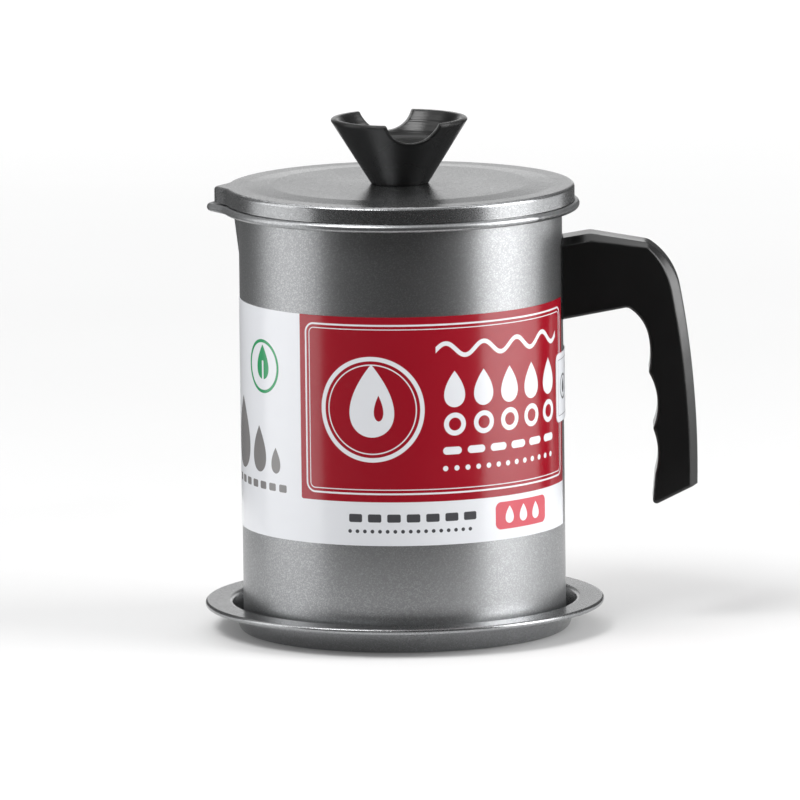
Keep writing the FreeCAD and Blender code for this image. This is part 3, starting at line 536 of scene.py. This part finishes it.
# %% [markdown]
# ## Laying out a print
# A printer builds a page from plates, one for each ink. The class below does the same: every call
# adds a shape, or a row of equal shapes, to a plate, and a plate is the strongest of its shapes at
# each point. A row needs no loop: the distance along the paper is folded back every pitch, and a
# bar-shaped window keeps only the wanted copies. In each call the first two numbers are the
# shape's middle, along and up, and the others its sizes in the order that its method names.

# %% A plate of one ink
SQUARE_CORNER = 0.01


class Plate:
    """Shapes that are printed in one ink, placed by the middle of each in millimetres."""

    def __init__(self, recipe, along, up):
        self.recipe, self.along, self.up = recipe, along, up
        self.mask = None

    def add(self, shape):
        """Print a shape."""
        self.mask = shape if self.mask is None else self.recipe.math("MAXIMUM", self.mask, shape)

    def cut(self, shape):
        """Leave a shape unprinted."""
        self.mask = self.recipe.clamp(self.recipe.math("SUBTRACT", self.mask, shape))

    def from_middle(self, along, up):
        """The two distances counted from a shape's middle."""
        return (self.recipe.math("SUBTRACT", self.along, along),
                self.recipe.math("SUBTRACT", self.up, up))

    def drop(self, along, up, width, height):
        x, y = self.from_middle(along, up)
        return self.recipe.group(DROP, Along=x, Up=y, Width=width, Height=height)["Mask"]

    def bar(self, along, up, width, height, corner):
        x, y = self.from_middle(along, up)
        bar = self.recipe.group(BAR, Along=x, Up=y, Width=width, Height=height, Corner=corner)
        return bar["Mask"]

    def frame(self, along, up, width, height, corner, inset, line):
        """The line of a bar's outline, inset from its edge."""
        x, y = self.from_middle(along, up)
        return self.recipe.group(BAR, Along=x, Up=y, Width=width, Height=height, Corner=corner,
                                 Inset=inset, Line=line)["Outline"]

    def ring(self, along, up, radius, line):
        x, y = self.from_middle(along, up)
        return self.recipe.group(RING, Along=x, Up=y, Radius=radius, Line=line)["Mask"]

    def disc(self, along, up, radius):
        x, y = self.from_middle(along, up)
        return self.recipe.group(RING, Along=x, Up=y, Radius=radius, Line=1.0)["Disc"]

    def row(self, first, up, pitch, count, draw):
        """Equal shapes in a row: draw takes a plate whose distances start at each copy."""
        middle = first + pitch * (count - 1) / 2
        window = self.bar(middle, up, pitch * count, pitch * 4, SQUARE_CORNER)
        folded = self.recipe.math("WRAP", self.recipe.math("SUBTRACT", self.along, first),
                                  pitch / 2, -pitch / 2)
        level = self.recipe.math("SUBTRACT", self.up, up)
        return self.recipe.math("MULTIPLY", window, draw(Plate(self.recipe, folded, level)))

    def wave(self, along, up, width, swing, length, line):
        """A wavy line of one width, with round swings."""
        x, y = self.from_middle(along, up)
        phase = self.recipe.math("MULTIPLY", x, 2 * math.pi / length)
        crest = self.recipe.math("MULTIPLY", self.recipe.math("SINE", phase), swing)
        lean = self.recipe.math("MULTIPLY", self.recipe.math("COSINE", phase),
                                swing * 2 * math.pi / length)
        slope = self.recipe.math("SQRT", self.recipe.math("MULTIPLY_ADD", lean, lean, 1.0))
        off = self.recipe.math("ABSOLUTE", self.recipe.math("SUBTRACT", y, crest))
        off = self.recipe.math("DIVIDE", off, slope)
        line_mask = ink(self.recipe, self.recipe.math("SUBTRACT", line / 2, off))
        window = self.bar(along, up, width, swing * 4 + line * 2, SQUARE_CORNER)
        return self.recipe.math("MULTIPLY", window, line_mask)


print("plates ready")

# %% [markdown]
# ## The paper band
# A band of lightly varnished paper goes round the pot, open behind the handle. It is printed with
# a red field, a white foot strip and plain shapes that go with oil: drops, a wave, dots and bars.
# Nothing on it is a word. The pattern is laid out from the middle of the front for the front, and
# from the middle of the back for the back, so the two layouts never meet at a seam that shows.

# %% Inks and paper
PAPER_WHITE = (0.85, 0.865, 0.90, 1.0)
PAPER_SHADE = (0.82, 0.835, 0.87, 1.0)
RED_INK = srgb(157, 3, 29)
PALE_RED_INK = srgb(206, 62, 78)
GREEN_INK = srgb(44, 152, 96)
GREY_INK = srgb(74, 74, 78)
PALE_GREY_INK = srgb(128, 126, 126)
LABEL_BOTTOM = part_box("label_band")[0][2] / MM
LABEL_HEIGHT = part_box("label_band")[1][2] / MM - LABEL_BOTTOM
FOOT_STRIP = 14.9
FIELD_FRAME = (19.6, 46.4, 108, 58, 3.5)
BACK_PANEL = (0, 46, 92, 50, 4)
PAPER_WAVE, PAPER_GRAIN = 1.2, 0.03
RED_START = math.radians(-38) * PAPER_RADIUS
RED_END = math.radians(90) * PAPER_RADIUS
print("band:", round(LABEL_HEIGHT, 1), "mm high, from", round(LABEL_BOTTOM, 1), "mm up")


# %% Front of the band
def print_red_field(recipe, along, up):
    """The red field from its left edge to the band's end, on a white foot strip."""
    plate = Plate(recipe, along, up)
    width = RED_END - RED_START
    height = LABEL_HEIGHT
    plate.add(plate.bar(RED_START + width / 2, FOOT_STRIP + height / 2, width, height, 0.8))
    return plate.mask


def print_white_on_red(recipe, along, up):
    """Frame, emblem, wave, drops, bars and dots."""
    plate = Plate(recipe, along, up)
    for inset, line in ((0.3, 0.6), (1.7, 0.3)):
        plate.add(plate.frame(*FIELD_FRAME, inset, line))
    plate.add(plate.ring(-10, 46.5, 18, 1.5))
    plate.add(plate.ring(-10, 46.5, 15.4, 0.4))
    plate.add(plate.drop(-10, 49.5, 15.5, 25))
    plate.cut(plate.drop(-7.6, 47, 3.4, 9))
    plate.add(plate.wave(40, 66.5, 56, 2.1, 14, 1.5))
    plate.add(plate.row(18.5, 53, 10.8, 5, lambda one: one.drop(0, 0, 7.6, 12.5)))
    plate.add(plate.row(18.5, 41, 10.8, 5, lambda one: one.ring(0, 0, 3.9, 1.7)))
    plate.add(plate.row(17.5, 32, 8.8, 6, lambda one: one.bar(0, 0, 6.6, 2.6, 1.3)))
    plate.add(plate.row(15, 26, 4.0, 13, lambda one: one.disc(0, 0, 0.9)))
    return plate.mask


def print_tag(recipe, along, up):
    """A pale red tag on the foot strip, with three drops left white."""
    plate = Plate(recipe, along, up)
    plate.add(plate.bar(46, 8.2, 25, 9.4, 2.2))
    plate.cut(plate.row(39.5, 8.4, 6.5, 3, lambda one: one.drop(0, 0, 3.8, 6)))
    return plate.mask


def print_foot_marks(recipe, along, up):
    """Grey marks on the foot strip: a row of bars over a row of dots."""
    plate = Plate(recipe, along, up)
    plate.add(plate.row(-16, 9.4, 6.6, 7, lambda one: one.bar(0, 0, 4.6, 2.8, 0.6)))
    plate.add(plate.row(-18, 4.9, 2.6, 17, lambda one: one.disc(0, 0, 0.65)))
    return plate.mask


def print_green_emblem(recipe, along, up):
    """A green ring with a drop, left of the red field."""
    plate = Plate(recipe, along, up)
    plate.add(plate.ring(-56, 58, 9.2, 1.1))
    plate.add(plate.drop(-56, 59.5, 7.4, 12))
    plate.cut(plate.bar(-56, 56, 1.0, 8, 0.5))
    return plate.mask


def print_left_marks(recipe, along, up):
    """Three grey drops and a short row under them, left of the red field."""
    plate = Plate(recipe, along, up)
    plate.add(plate.drop(-74, 33.5, 15, 25))
    plate.add(plate.drop(-59, 29.5, 9, 16))
    plate.add(plate.drop(-49, 26.5, 5, 9))
    plate.add(plate.row(-79, 17.2, 5.6, 7, lambda one: one.bar(0, 0, 3.8, 2.6, 0.6)))
    return plate.mask


print("front plates ready")


# %% Back of the band
def print_back_panel(recipe, along, up):
    """A red panel in the middle of the back, with its lines left white."""
    plate = Plate(recipe, along, up)
    plate.add(plate.bar(*BACK_PANEL))
    plate.cut(plate.frame(*BACK_PANEL, inset=2.2, line=0.5))
    for line, length in enumerate((58, 64, 50, 60, 40)):
        level = 62 - line * 7.4
        plate.cut(plate.drop(-36, level, 3, 4.8))
        plate.cut(plate.bar(length / 2 - 31, level, length, 1.8, 0.9))
    return plate.mask


def print_back_marks(recipe, along, up):
    """Grey rings with a drop in each, under and beside the red panel."""
    plate = Plate(recipe, along, up)
    plate.add(plate.row(-30, 11, 15, 5, lambda one: one.ring(0, 0, 4.6, 0.5)))
    plate.add(plate.row(-30, 11.3, 15, 5, lambda one: one.drop(0, 0, 3.2, 5)))
    plate.add(plate.row(-71, 46, 142, 2, lambda one: one.drop(0, 0, 11, 18)))
    plate.add(plate.row(-71, 27, 142, 2, lambda one: one.ring(0, 0, 4, 0.8)))
    return plate.mask


print("back plates ready")


# %% Print the band
def print_band():
    """Varnished paper with one plate after another, each over the last."""
    material, recipe, shader, place = new_material("band_paper_printed", Specular_IOR_Level=1.0)
    front = recipe.group(WRAP, Place=place, Turn=0.0, Bottom=LABEL_BOTTOM)
    back = recipe.group(WRAP, Place=place, Turn=math.pi, Bottom=LABEL_BOTTOM)
    at_front = (recipe, front["Along"], front["Up"])
    at_back = (recipe, back["Along"], back["Up"])
    fine = recipe.group(GRAIN, Place=place, Grain_Size=0.25, Smear_Size=18.0)
    colour = recipe.mix(fine["Smear"], PAPER_SHADE, PAPER_WHITE)
    for mask, tone in (
            (print_red_field(*at_front), RED_INK), (print_white_on_red(*at_front), PAPER_WHITE),
            (print_tag(*at_front), PALE_RED_INK), (print_foot_marks(*at_front), GREY_INK),
            (print_green_emblem(*at_front), GREEN_INK), (print_left_marks(*at_front), PALE_GREY_INK),
            (print_back_panel(*at_back), RED_INK), (print_back_marks(*at_back), PALE_GREY_INK)):
        colour = recipe.mix(mask, colour, tone)
    recipe.fill(shader["Base Color"], colour)
    recipe.fill(shader["Roughness"], recipe.around(fine["Smear"], 0.20, swing=0.03))
    waves = recipe.bump(fine["Smear"], 0.12, PAPER_WAVE * MM)
    recipe.fill(shader["Normal"], recipe.bump(fine["Grain"], 0.06, PAPER_GRAIN * MM, waves))
    return material


BAND_PAPER = print_band()
print("band printed with", len(BAND_PAPER.node_tree.nodes), "nodes")

# %% [markdown]
# ## The sticker
# A small white sticker bridges the gap between the band's ends, under the handle. It carries a
# thin grey frame and a few grey rows, laid out from the middle of the handle's side. The same
# shapes print it, so it needs only a layout of its own.

# %% Print the sticker
SEAL_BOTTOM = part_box("label_seal")[0][2] / MM
SEAL_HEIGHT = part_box("label_seal")[1][2] / MM - SEAL_BOTTOM
SEAL_WIDTH = math.radians(38) * PAPER_RADIUS


def print_sticker():
    """White paper with a frame, a ring with a drop, and four rows of short bars."""
    material, recipe, shader, place = new_material("sticker_paper", Specular_IOR_Level=0.5)
    wrap = recipe.group(WRAP, Place=place, Turn=math.pi / 2, Bottom=SEAL_BOTTOM)
    plate = Plate(recipe, wrap["Along"], wrap["Up"])
    middle = SEAL_HEIGHT / 2
    plate.add(plate.frame(0, middle, SEAL_WIDTH, SEAL_HEIGHT, 2.6, 2.2, 0.2))
    plate.add(plate.ring(-9.5, middle, 4.4, 0.7))
    plate.add(plate.drop(-9.5, middle + 0.5, 3.4, 5.4))
    for level in (5.4, 1.8, -1.8, -5.4):
        plate.add(plate.row(-1, middle + level, 2.7, 6, lambda one: one.bar(0, 0, 1.9, 1.3, 0.3)))
    fine = recipe.group(GRAIN, Place=place, Grain_Size=0.25, Smear_Size=12.0)
    paper = recipe.mix(fine["Smear"], PAPER_SHADE, PAPER_WHITE)
    recipe.fill(shader["Base Color"], recipe.mix(plate.mask, paper, GREY_INK))
    recipe.fill(shader["Roughness"], recipe.spread(fine["Smear"], 0.25, 0.36))
    recipe.fill(shader["Normal"], recipe.bump(fine["Grain"], 0.08, PAPER_GRAIN * MM))
    return material


STICKER_PAPER = print_sticker()
print("sticker:", round(SEAL_WIDTH, 1), "by", round(SEAL_HEIGHT, 1), "mm")

# %% [markdown]
# ## Dressing the solids
# Each solid is one real piece and is made of one stuff, so it takes one material and needs no
# split faces. Screws and washer share a zinc finish. The strainer's mesh is missing from the
# list, because the woven one below takes its place.

# %% Dress the nodes
FINISHES = {
    "drip_tray": TRAY_COATING,
    "pot_body": POT_COATING,
    "lid_shell": LID_COATING,
    "strainer_frame": STRAINER_COATING,
    "mesh_ring": MESH_WIRE,
    "handle_grip": HANDLE_PLASTIC,
    "lid_knob": KNOB_PLASTIC,
    "label_band": BAND_PAPER,
    "label_seal": STICKER_PAPER,
    "handle_bracket": BRACKET_STEEL,
    "handle_screw": SCREW_ZINC,
    "knob_screw": SCREW_ZINC,
    "knob_washer": SCREW_ZINC,
    "knob_insert": INSERT_BRASS,
}
for name, material in FINISHES.items():
    NODES[name].data.materials.clear()
    NODES[name].data.materials.append(material)
print("dressed:", ", ".join(FINISHES))

# %% [markdown]
# ## The woven mesh
# The strainer's mesh is plain weave: wires run both ways a millimetre apart, and each goes over
# and under the next. A see-through pattern on the disc would look flat from near by, so the wires
# are real. Geometry Nodes make them from one flat grid: every second grid point is lifted and the
# others lowered, the grid's rows become the wires one way, and its columns, lifted the other way
# round, the wires across. The points beyond the mesh's edge are deleted, and the middle is dished
# as the solid mesh is.

# %% Weave the mesh
MESH_PITCH = 1.0
WIRE_RADIUS = 0.15
WIRE_SIDES = 4
MESH_RIM_WIDTH = 6.1
LEVEL_ENOUGH = 1e-6


def geometry_group(name, inputs):
    """A Geometry Nodes tree with named numbers as inputs, its sockets' names and its ends."""
    tree = bpy.data.node_groups.new(name, "GeometryNodeTree")
    tree.interface.new_socket("Geometry", in_out="INPUT", socket_type="NodeSocketGeometry")
    sockets = {}
    for label, value in inputs.items():
        kind = "NodeSocketInt" if isinstance(value, int) else "NodeSocketFloat"
        socket = tree.interface.new_socket(label, in_out="INPUT", socket_type=kind)
        socket.default_value = value
        sockets[label] = socket.identifier
    tree.interface.new_socket("Geometry", in_out="OUTPUT", socket_type="NodeSocketGeometry")
    recipe = Recipe(tree)
    given, out = recipe.node("NodeGroupInput").outputs, recipe.node("NodeGroupOutput").inputs
    return tree, recipe, given, out, sockets


def build_weave(material, sizes):
    """The tree for a dished disc of plain weave, and the names of its inputs' sockets."""
    tree, recipe, given, out, sockets = geometry_group("woven_mesh", sizes)
    points = given["Points"]
    span = recipe.math("MULTIPLY", recipe.math("SUBTRACT", points, 1.0), given["Pitch"])
    grid = recipe.node("GeometryNodeMeshGrid", span, span, points, points).outputs["Mesh"]
    place = recipe.node("GeometryNodeInputPosition").outputs[0]
    x, y, _ = recipe.node("ShaderNodeSeparateXYZ", place).outputs
    radius = recipe.distance(x, y)
    beyond = recipe.node("FunctionNodeCompare", radius, given["Edge Radius"],
                         data_type="FLOAT", operation="GREATER_THAN").outputs[0]
    disc = recipe.node("GeometryNodeDeleteGeometry", grid, beyond).outputs[0]
    # the dish is a shallow bowl whose depth falls to nothing at its own radius
    share = recipe.math("DIVIDE", radius, given["Dish Radius"])
    left = recipe.math("SUBTRACT", 1.0, recipe.math("MULTIPLY", share, share))
    dip = recipe.math("MULTIPLY", recipe.math("MAXIMUM", left, 0.0), given["Sag"])
    level = recipe.math("SUBTRACT", given["Height"], dip)
    column = recipe.math("ROUND", recipe.math("DIVIDE", x, given["Pitch"]))
    line = recipe.math("ROUND", recipe.math("DIVIDE", y, given["Pitch"]))
    odd = recipe.math("PINGPONG", recipe.math("ADD", column, line), 1.0)
    lift = recipe.math("MULTIPLY_ADD", odd, 2.0, -1.0)
    circle = recipe.node("GeometryNodeCurvePrimitiveCircle")
    recipe.fill(circle.inputs["Resolution"], given["Wire Sides"])
    recipe.fill(circle.inputs["Radius"], given["Wire Radius"])
    ends = recipe.node("GeometryNodeInputMeshEdgeVertices").outputs
    step = recipe.node("ShaderNodeVectorMath", ends["Position 1"], ends["Position 2"],
                       operation="SUBTRACT").outputs[0]
    step_x, step_y, _ = recipe.node("ShaderNodeSeparateXYZ", step).outputs
    joined = recipe.node("GeometryNodeJoinGeometry")
    for side, across in ((1.0, step_y), (-1.0, step_x)):
        height = recipe.math("MULTIPLY", recipe.math("MULTIPLY", lift, given["Wire Radius"]), side)
        lifted = recipe.math("ADD", level, height)
        target = recipe.node("ShaderNodeCombineXYZ", x, y, lifted).outputs[0]
        laid = recipe.node("GeometryNodeSetPosition", disc, None, target).outputs[0]
        along_wire = recipe.node("FunctionNodeCompare", recipe.math("ABSOLUTE", across),
                                 LEVEL_ENOUGH, data_type="FLOAT",
                                 operation="LESS_THAN").outputs[0]
        wires = recipe.node("GeometryNodeMeshToCurve", laid, along_wire).outputs[0]
        tube = recipe.node("GeometryNodeCurveToMesh", wires, circle.outputs[0])
        tube.inputs["Fill Caps"].default_value = True
        recipe.tree.links.new(tube.outputs[0], joined.inputs[0])
    real = recipe.node("GeometryNodeRealizeInstances", joined.outputs[0]).outputs[0]
    dressed = recipe.node("GeometryNodeSetMaterial", real)
    dressed.inputs["Material"].default_value = material
    recipe.fill(out["Geometry"], dressed.outputs[0])
    return tree, sockets


def plain_mesh(name, tree, values):
    """Run a Geometry Nodes tree on an empty mesh and keep its result as a plain mesh."""
    maker = bpy.data.objects.new(name + "_maker", bpy.data.meshes.new(name + "_start"))
    bpy.context.scene.collection.objects.link(maker)
    modifier = maker.modifiers.new("nodes", "NODES")
    modifier.node_group = tree
    for identifier, value in values.items():
        modifier[identifier] = value
    graph = bpy.context.evaluated_depsgraph_get()
    mesh = bpy.data.meshes.new_from_object(maker.evaluated_get(graph))
    maker.modifiers.remove(modifier)
    bpy.data.objects.remove(maker)
    mesh.name = name
    piece = bpy.data.objects.new(name, mesh)
    bpy.context.scene.collection.objects.link(piece)
    return piece


def make_mesh_weave():
    """The woven mesh in place of the solid one, inside the same box."""
    low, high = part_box("strainer_mesh")
    wire = WIRE_RADIUS * MM
    edge, middle = high[0] - wire, high[2] - 2 * wire
    half_count = int(edge / (MESH_PITCH * MM))
    sizes = {
        "Points": half_count * 2 + 1, "Pitch": MESH_PITCH * MM, "Wire Radius": wire,
        "Wire Sides": WIRE_SIDES, "Edge Radius": edge,
        "Dish Radius": high[0] - MESH_RIM_WIDTH * MM, "Sag": middle - low[2] - 2 * wire,
        "Height": middle}
    tree, sockets = build_weave(MESH_WIRE, sizes)
    values = {sockets[label]: size for label, size in sizes.items()}
    piece = plain_mesh("strainer_weave", tree, values)
    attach(piece, "strainer")
    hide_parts("strainer_mesh")
    return piece


WEAVE = make_mesh_weave()
print("woven mesh:", len(WEAVE.data.polygons), "faces")

# %% [markdown]
# ## The floor
# The container stands on a plain pale floor that runs out into white. More light would whiten the
# floor too, but it would also bleach the container, so the floor has a glow of its own that grows
# with the distance. The camera sees the glow, and so does metal that mirrors it, while scattered
# light meets a darker floor that throws little back at the container and keeps its shadow.

# %% Floor
FLOOR_HALF = 4.0
FLOOR_DROP = 0.05 * MM
FLOOR_FOR_SCATTERED = 0.25
GLOW_NEAR, GLOW_GAIN = 0.06, 0.84
GLOW_STARTS, GLOW_FULL = 0.2, 2.6


def seen_directly(recipe):
    """1 for what the camera sees, straight or mirrored in metal, and 0 for scattered light."""
    path = recipe.node("ShaderNodeLightPath").outputs
    mirrored = recipe.math("MAXIMUM", path["Is Glossy Ray"], path["Is Transmission Ray"])
    return recipe.math("MAXIMUM", path["Is Camera Ray"], mirrored)


def make_floor():
    """A large square just under the container's foot."""
    mesh = bpy.data.meshes.new("floor")
    corners = [(-FLOOR_HALF, -FLOOR_HALF), (FLOOR_HALF, -FLOOR_HALF), (FLOOR_HALF, FLOOR_HALF),
               (-FLOOR_HALF, FLOOR_HALF)]
    mesh.from_pydata([Vector((x, y, -FLOOR_DROP)) for x, y in corners], [], [(0, 1, 2, 3)])
    floor = bpy.data.objects.new("floor", mesh)
    bpy.context.scene.collection.objects.link(floor)
    material, recipe, shader, place = new_material("pale_floor", Roughness=0.7)
    seen = seen_directly(recipe)
    pale = recipe.mix(recipe.noise(place, 3.0), grey(0.60), grey(0.64))
    recipe.fill(shader["Base Color"], recipe.mix(seen, grey(FLOOR_FOR_SCATTERED), pale))
    shader["Emission Color"].default_value = grey(1.0)
    away = recipe.node("ShaderNodeVectorMath", place, operation="LENGTH").outputs["Value"]
    farther = recipe.ramp(away, start=GLOW_STARTS, end=GLOW_FULL)
    glow = recipe.math("MULTIPLY_ADD", farther, GLOW_GAIN, GLOW_NEAR)
    recipe.fill(shader["Emission Strength"], recipe.math("MULTIPLY", seen, glow))
    mesh.materials.append(material)
    return floor


print("floor:", make_floor().name)

# %% [markdown]
# ## Dark cards
# Grey metal in an all-white room looks like chalk: it needs something dark to mirror. Low curved
# cards stand round the container for that, as they do in a studio: one in front for the dark
# middle, and one behind each side for dark edges. Only reflections show them, so every view keeps
# its plain floor, and they hold no light back.

# %% Dark cards
CARD_HEIGHT = 0.22
CARD_STEP = 5
CARDS = (  # name, distance in metres, and the bearings of both ends in degrees
    ("front_card", 0.17, -50, 50),
    ("left_card", 0.30, -160, -105),
    ("right_card", 0.30, 125, 160),
)


def dark_cards(arcs):
    """Curved upright cards. Bearings count from the camera towards the handle."""
    material, recipe, shader, place = new_material("dark_card", Roughness=0.9)
    recipe.fill(shader["Base Color"], recipe.mix(recipe.noise(place, 6.0), grey(0.09), grey(0.12)))
    for name, radius, first, last in arcs:
        bearings = [math.radians(b) for b in range(first, last + 1, CARD_STEP)]
        foot = [(radius * math.sin(b), -radius * math.cos(b)) for b in bearings]
        corners = [Vector((x, y, z)) for x, y in foot for z in (0.0, CARD_HEIGHT)]
        faces = [(i, i + 2, i + 3, i + 1) for i in range(0, len(corners) - 2, 2)]
        mesh = bpy.data.meshes.new(name)
        mesh.from_pydata(corners, [], faces)
        mesh.materials.append(material)
        card = bpy.data.objects.new(name, mesh)
        bpy.context.scene.collection.objects.link(card)
        card.visible_camera = card.visible_shadow = card.visible_diffuse = False
    return [arc[0] for arc in arcs]


print("cards:", dark_cards(CARDS))

# %% [markdown]
# ## Lamps
# Two tall soft panels stand at the sides, the right one brighter: on a grey cylinder they show as
# two upright bands with a dark middle between them, which is what makes the coating read as
# metal. A third panel hangs overhead and draws the thin bright lines along every rounded rim, and
# a small fourth one lights the paper from the front left, so high up that the wall hardly mirrors
# it.

# %% Lamps
PANELS = (  # name, bearing in degrees, then distance, width, height and level in metres, watts
    ("right_panel", 78, 1.6, 1.2, 1.5, 0.75, 37.0),
    ("left_panel", -88, 1.6, 1.0, 1.5, 0.75, 9.5),
    ("overhead_panel", 180, 0.65, 1.6, 1.1, 1.6, 7.0),
    ("fill_panel", -46, 0.95, 0.9, 0.6, 1.5, 23.0),
)
POT_MIDDLE = Vector((0, 0, 0.08))


def soft_panel(name, bearing, distance, width, height, level, power):
    """A soft lamp turned to the pot. The bearing counts from the camera towards the handle."""
    lamp = bpy.data.lights.new(name, "AREA")
    lamp.shape = "RECTANGLE"
    lamp.size, lamp.size_y, lamp.energy = width, height, power
    panel = bpy.data.objects.new(name, lamp)
    bpy.context.scene.collection.objects.link(panel)
    angle = math.radians(bearing)
    panel.location = (distance * math.sin(angle), -distance * math.cos(angle), level)
    panel.rotation_mode = "QUATERNION"
    aim = POT_MIDDLE - panel.location
    panel.rotation_quaternion = aim.to_track_quat("-Z", "Y")
    return panel


print("lamps:", [soft_panel(*panel).name for panel in PANELS])

# %% [markdown]
# ## The sky
# The sky is what the metal mirrors above the floor. It is dark in front, half light overhead and
# bright behind the container, so that the flat lid comes out pale and its rim stands off. All
# round, a low white horizon carries the pale floor on, for the camera and in reflections alike.

# %% Sky
SKY_FRONT, SKY_TOP, SKY_BACK, HORIZON = 0.05, 0.5, 1.45, 1.0


def make_sky():
    """A world whose light depends on the direction: Y points away from the camera, and Z up."""
    world = bpy.data.worlds.new("studio_sky")
    world.use_nodes = True
    bpy.context.scene.world = world
    recipe = Recipe(world.node_tree)
    background = world.node_tree.nodes["Background"]
    direction = recipe.node("ShaderNodeTexCoord").outputs["Generated"]
    parts = recipe.node("ShaderNodeSeparateXYZ", direction).outputs
    overhead = recipe.ramp(parts["Z"], start=0.15, end=0.8)
    near_floor = recipe.ramp(parts["Z"], start=0.22, end=0.10)
    behind = recipe.ramp(parts["Y"], start=0.72, end=0.97)
    low = recipe.ramp(parts["Z"], start=0.36, end=0.0)
    studio = recipe.mix(overhead, grey(SKY_FRONT), grey(SKY_TOP))
    horizon = recipe.math("MULTIPLY", seen_directly(recipe), near_floor)
    studio = recipe.mix(horizon, studio, grey(HORIZON))
    studio = recipe.mix(recipe.math("MULTIPLY", behind, low), studio, grey(SKY_BACK))
    recipe.fill(background.inputs["Color"], studio)
    return world


print("sky:", make_sky().name)
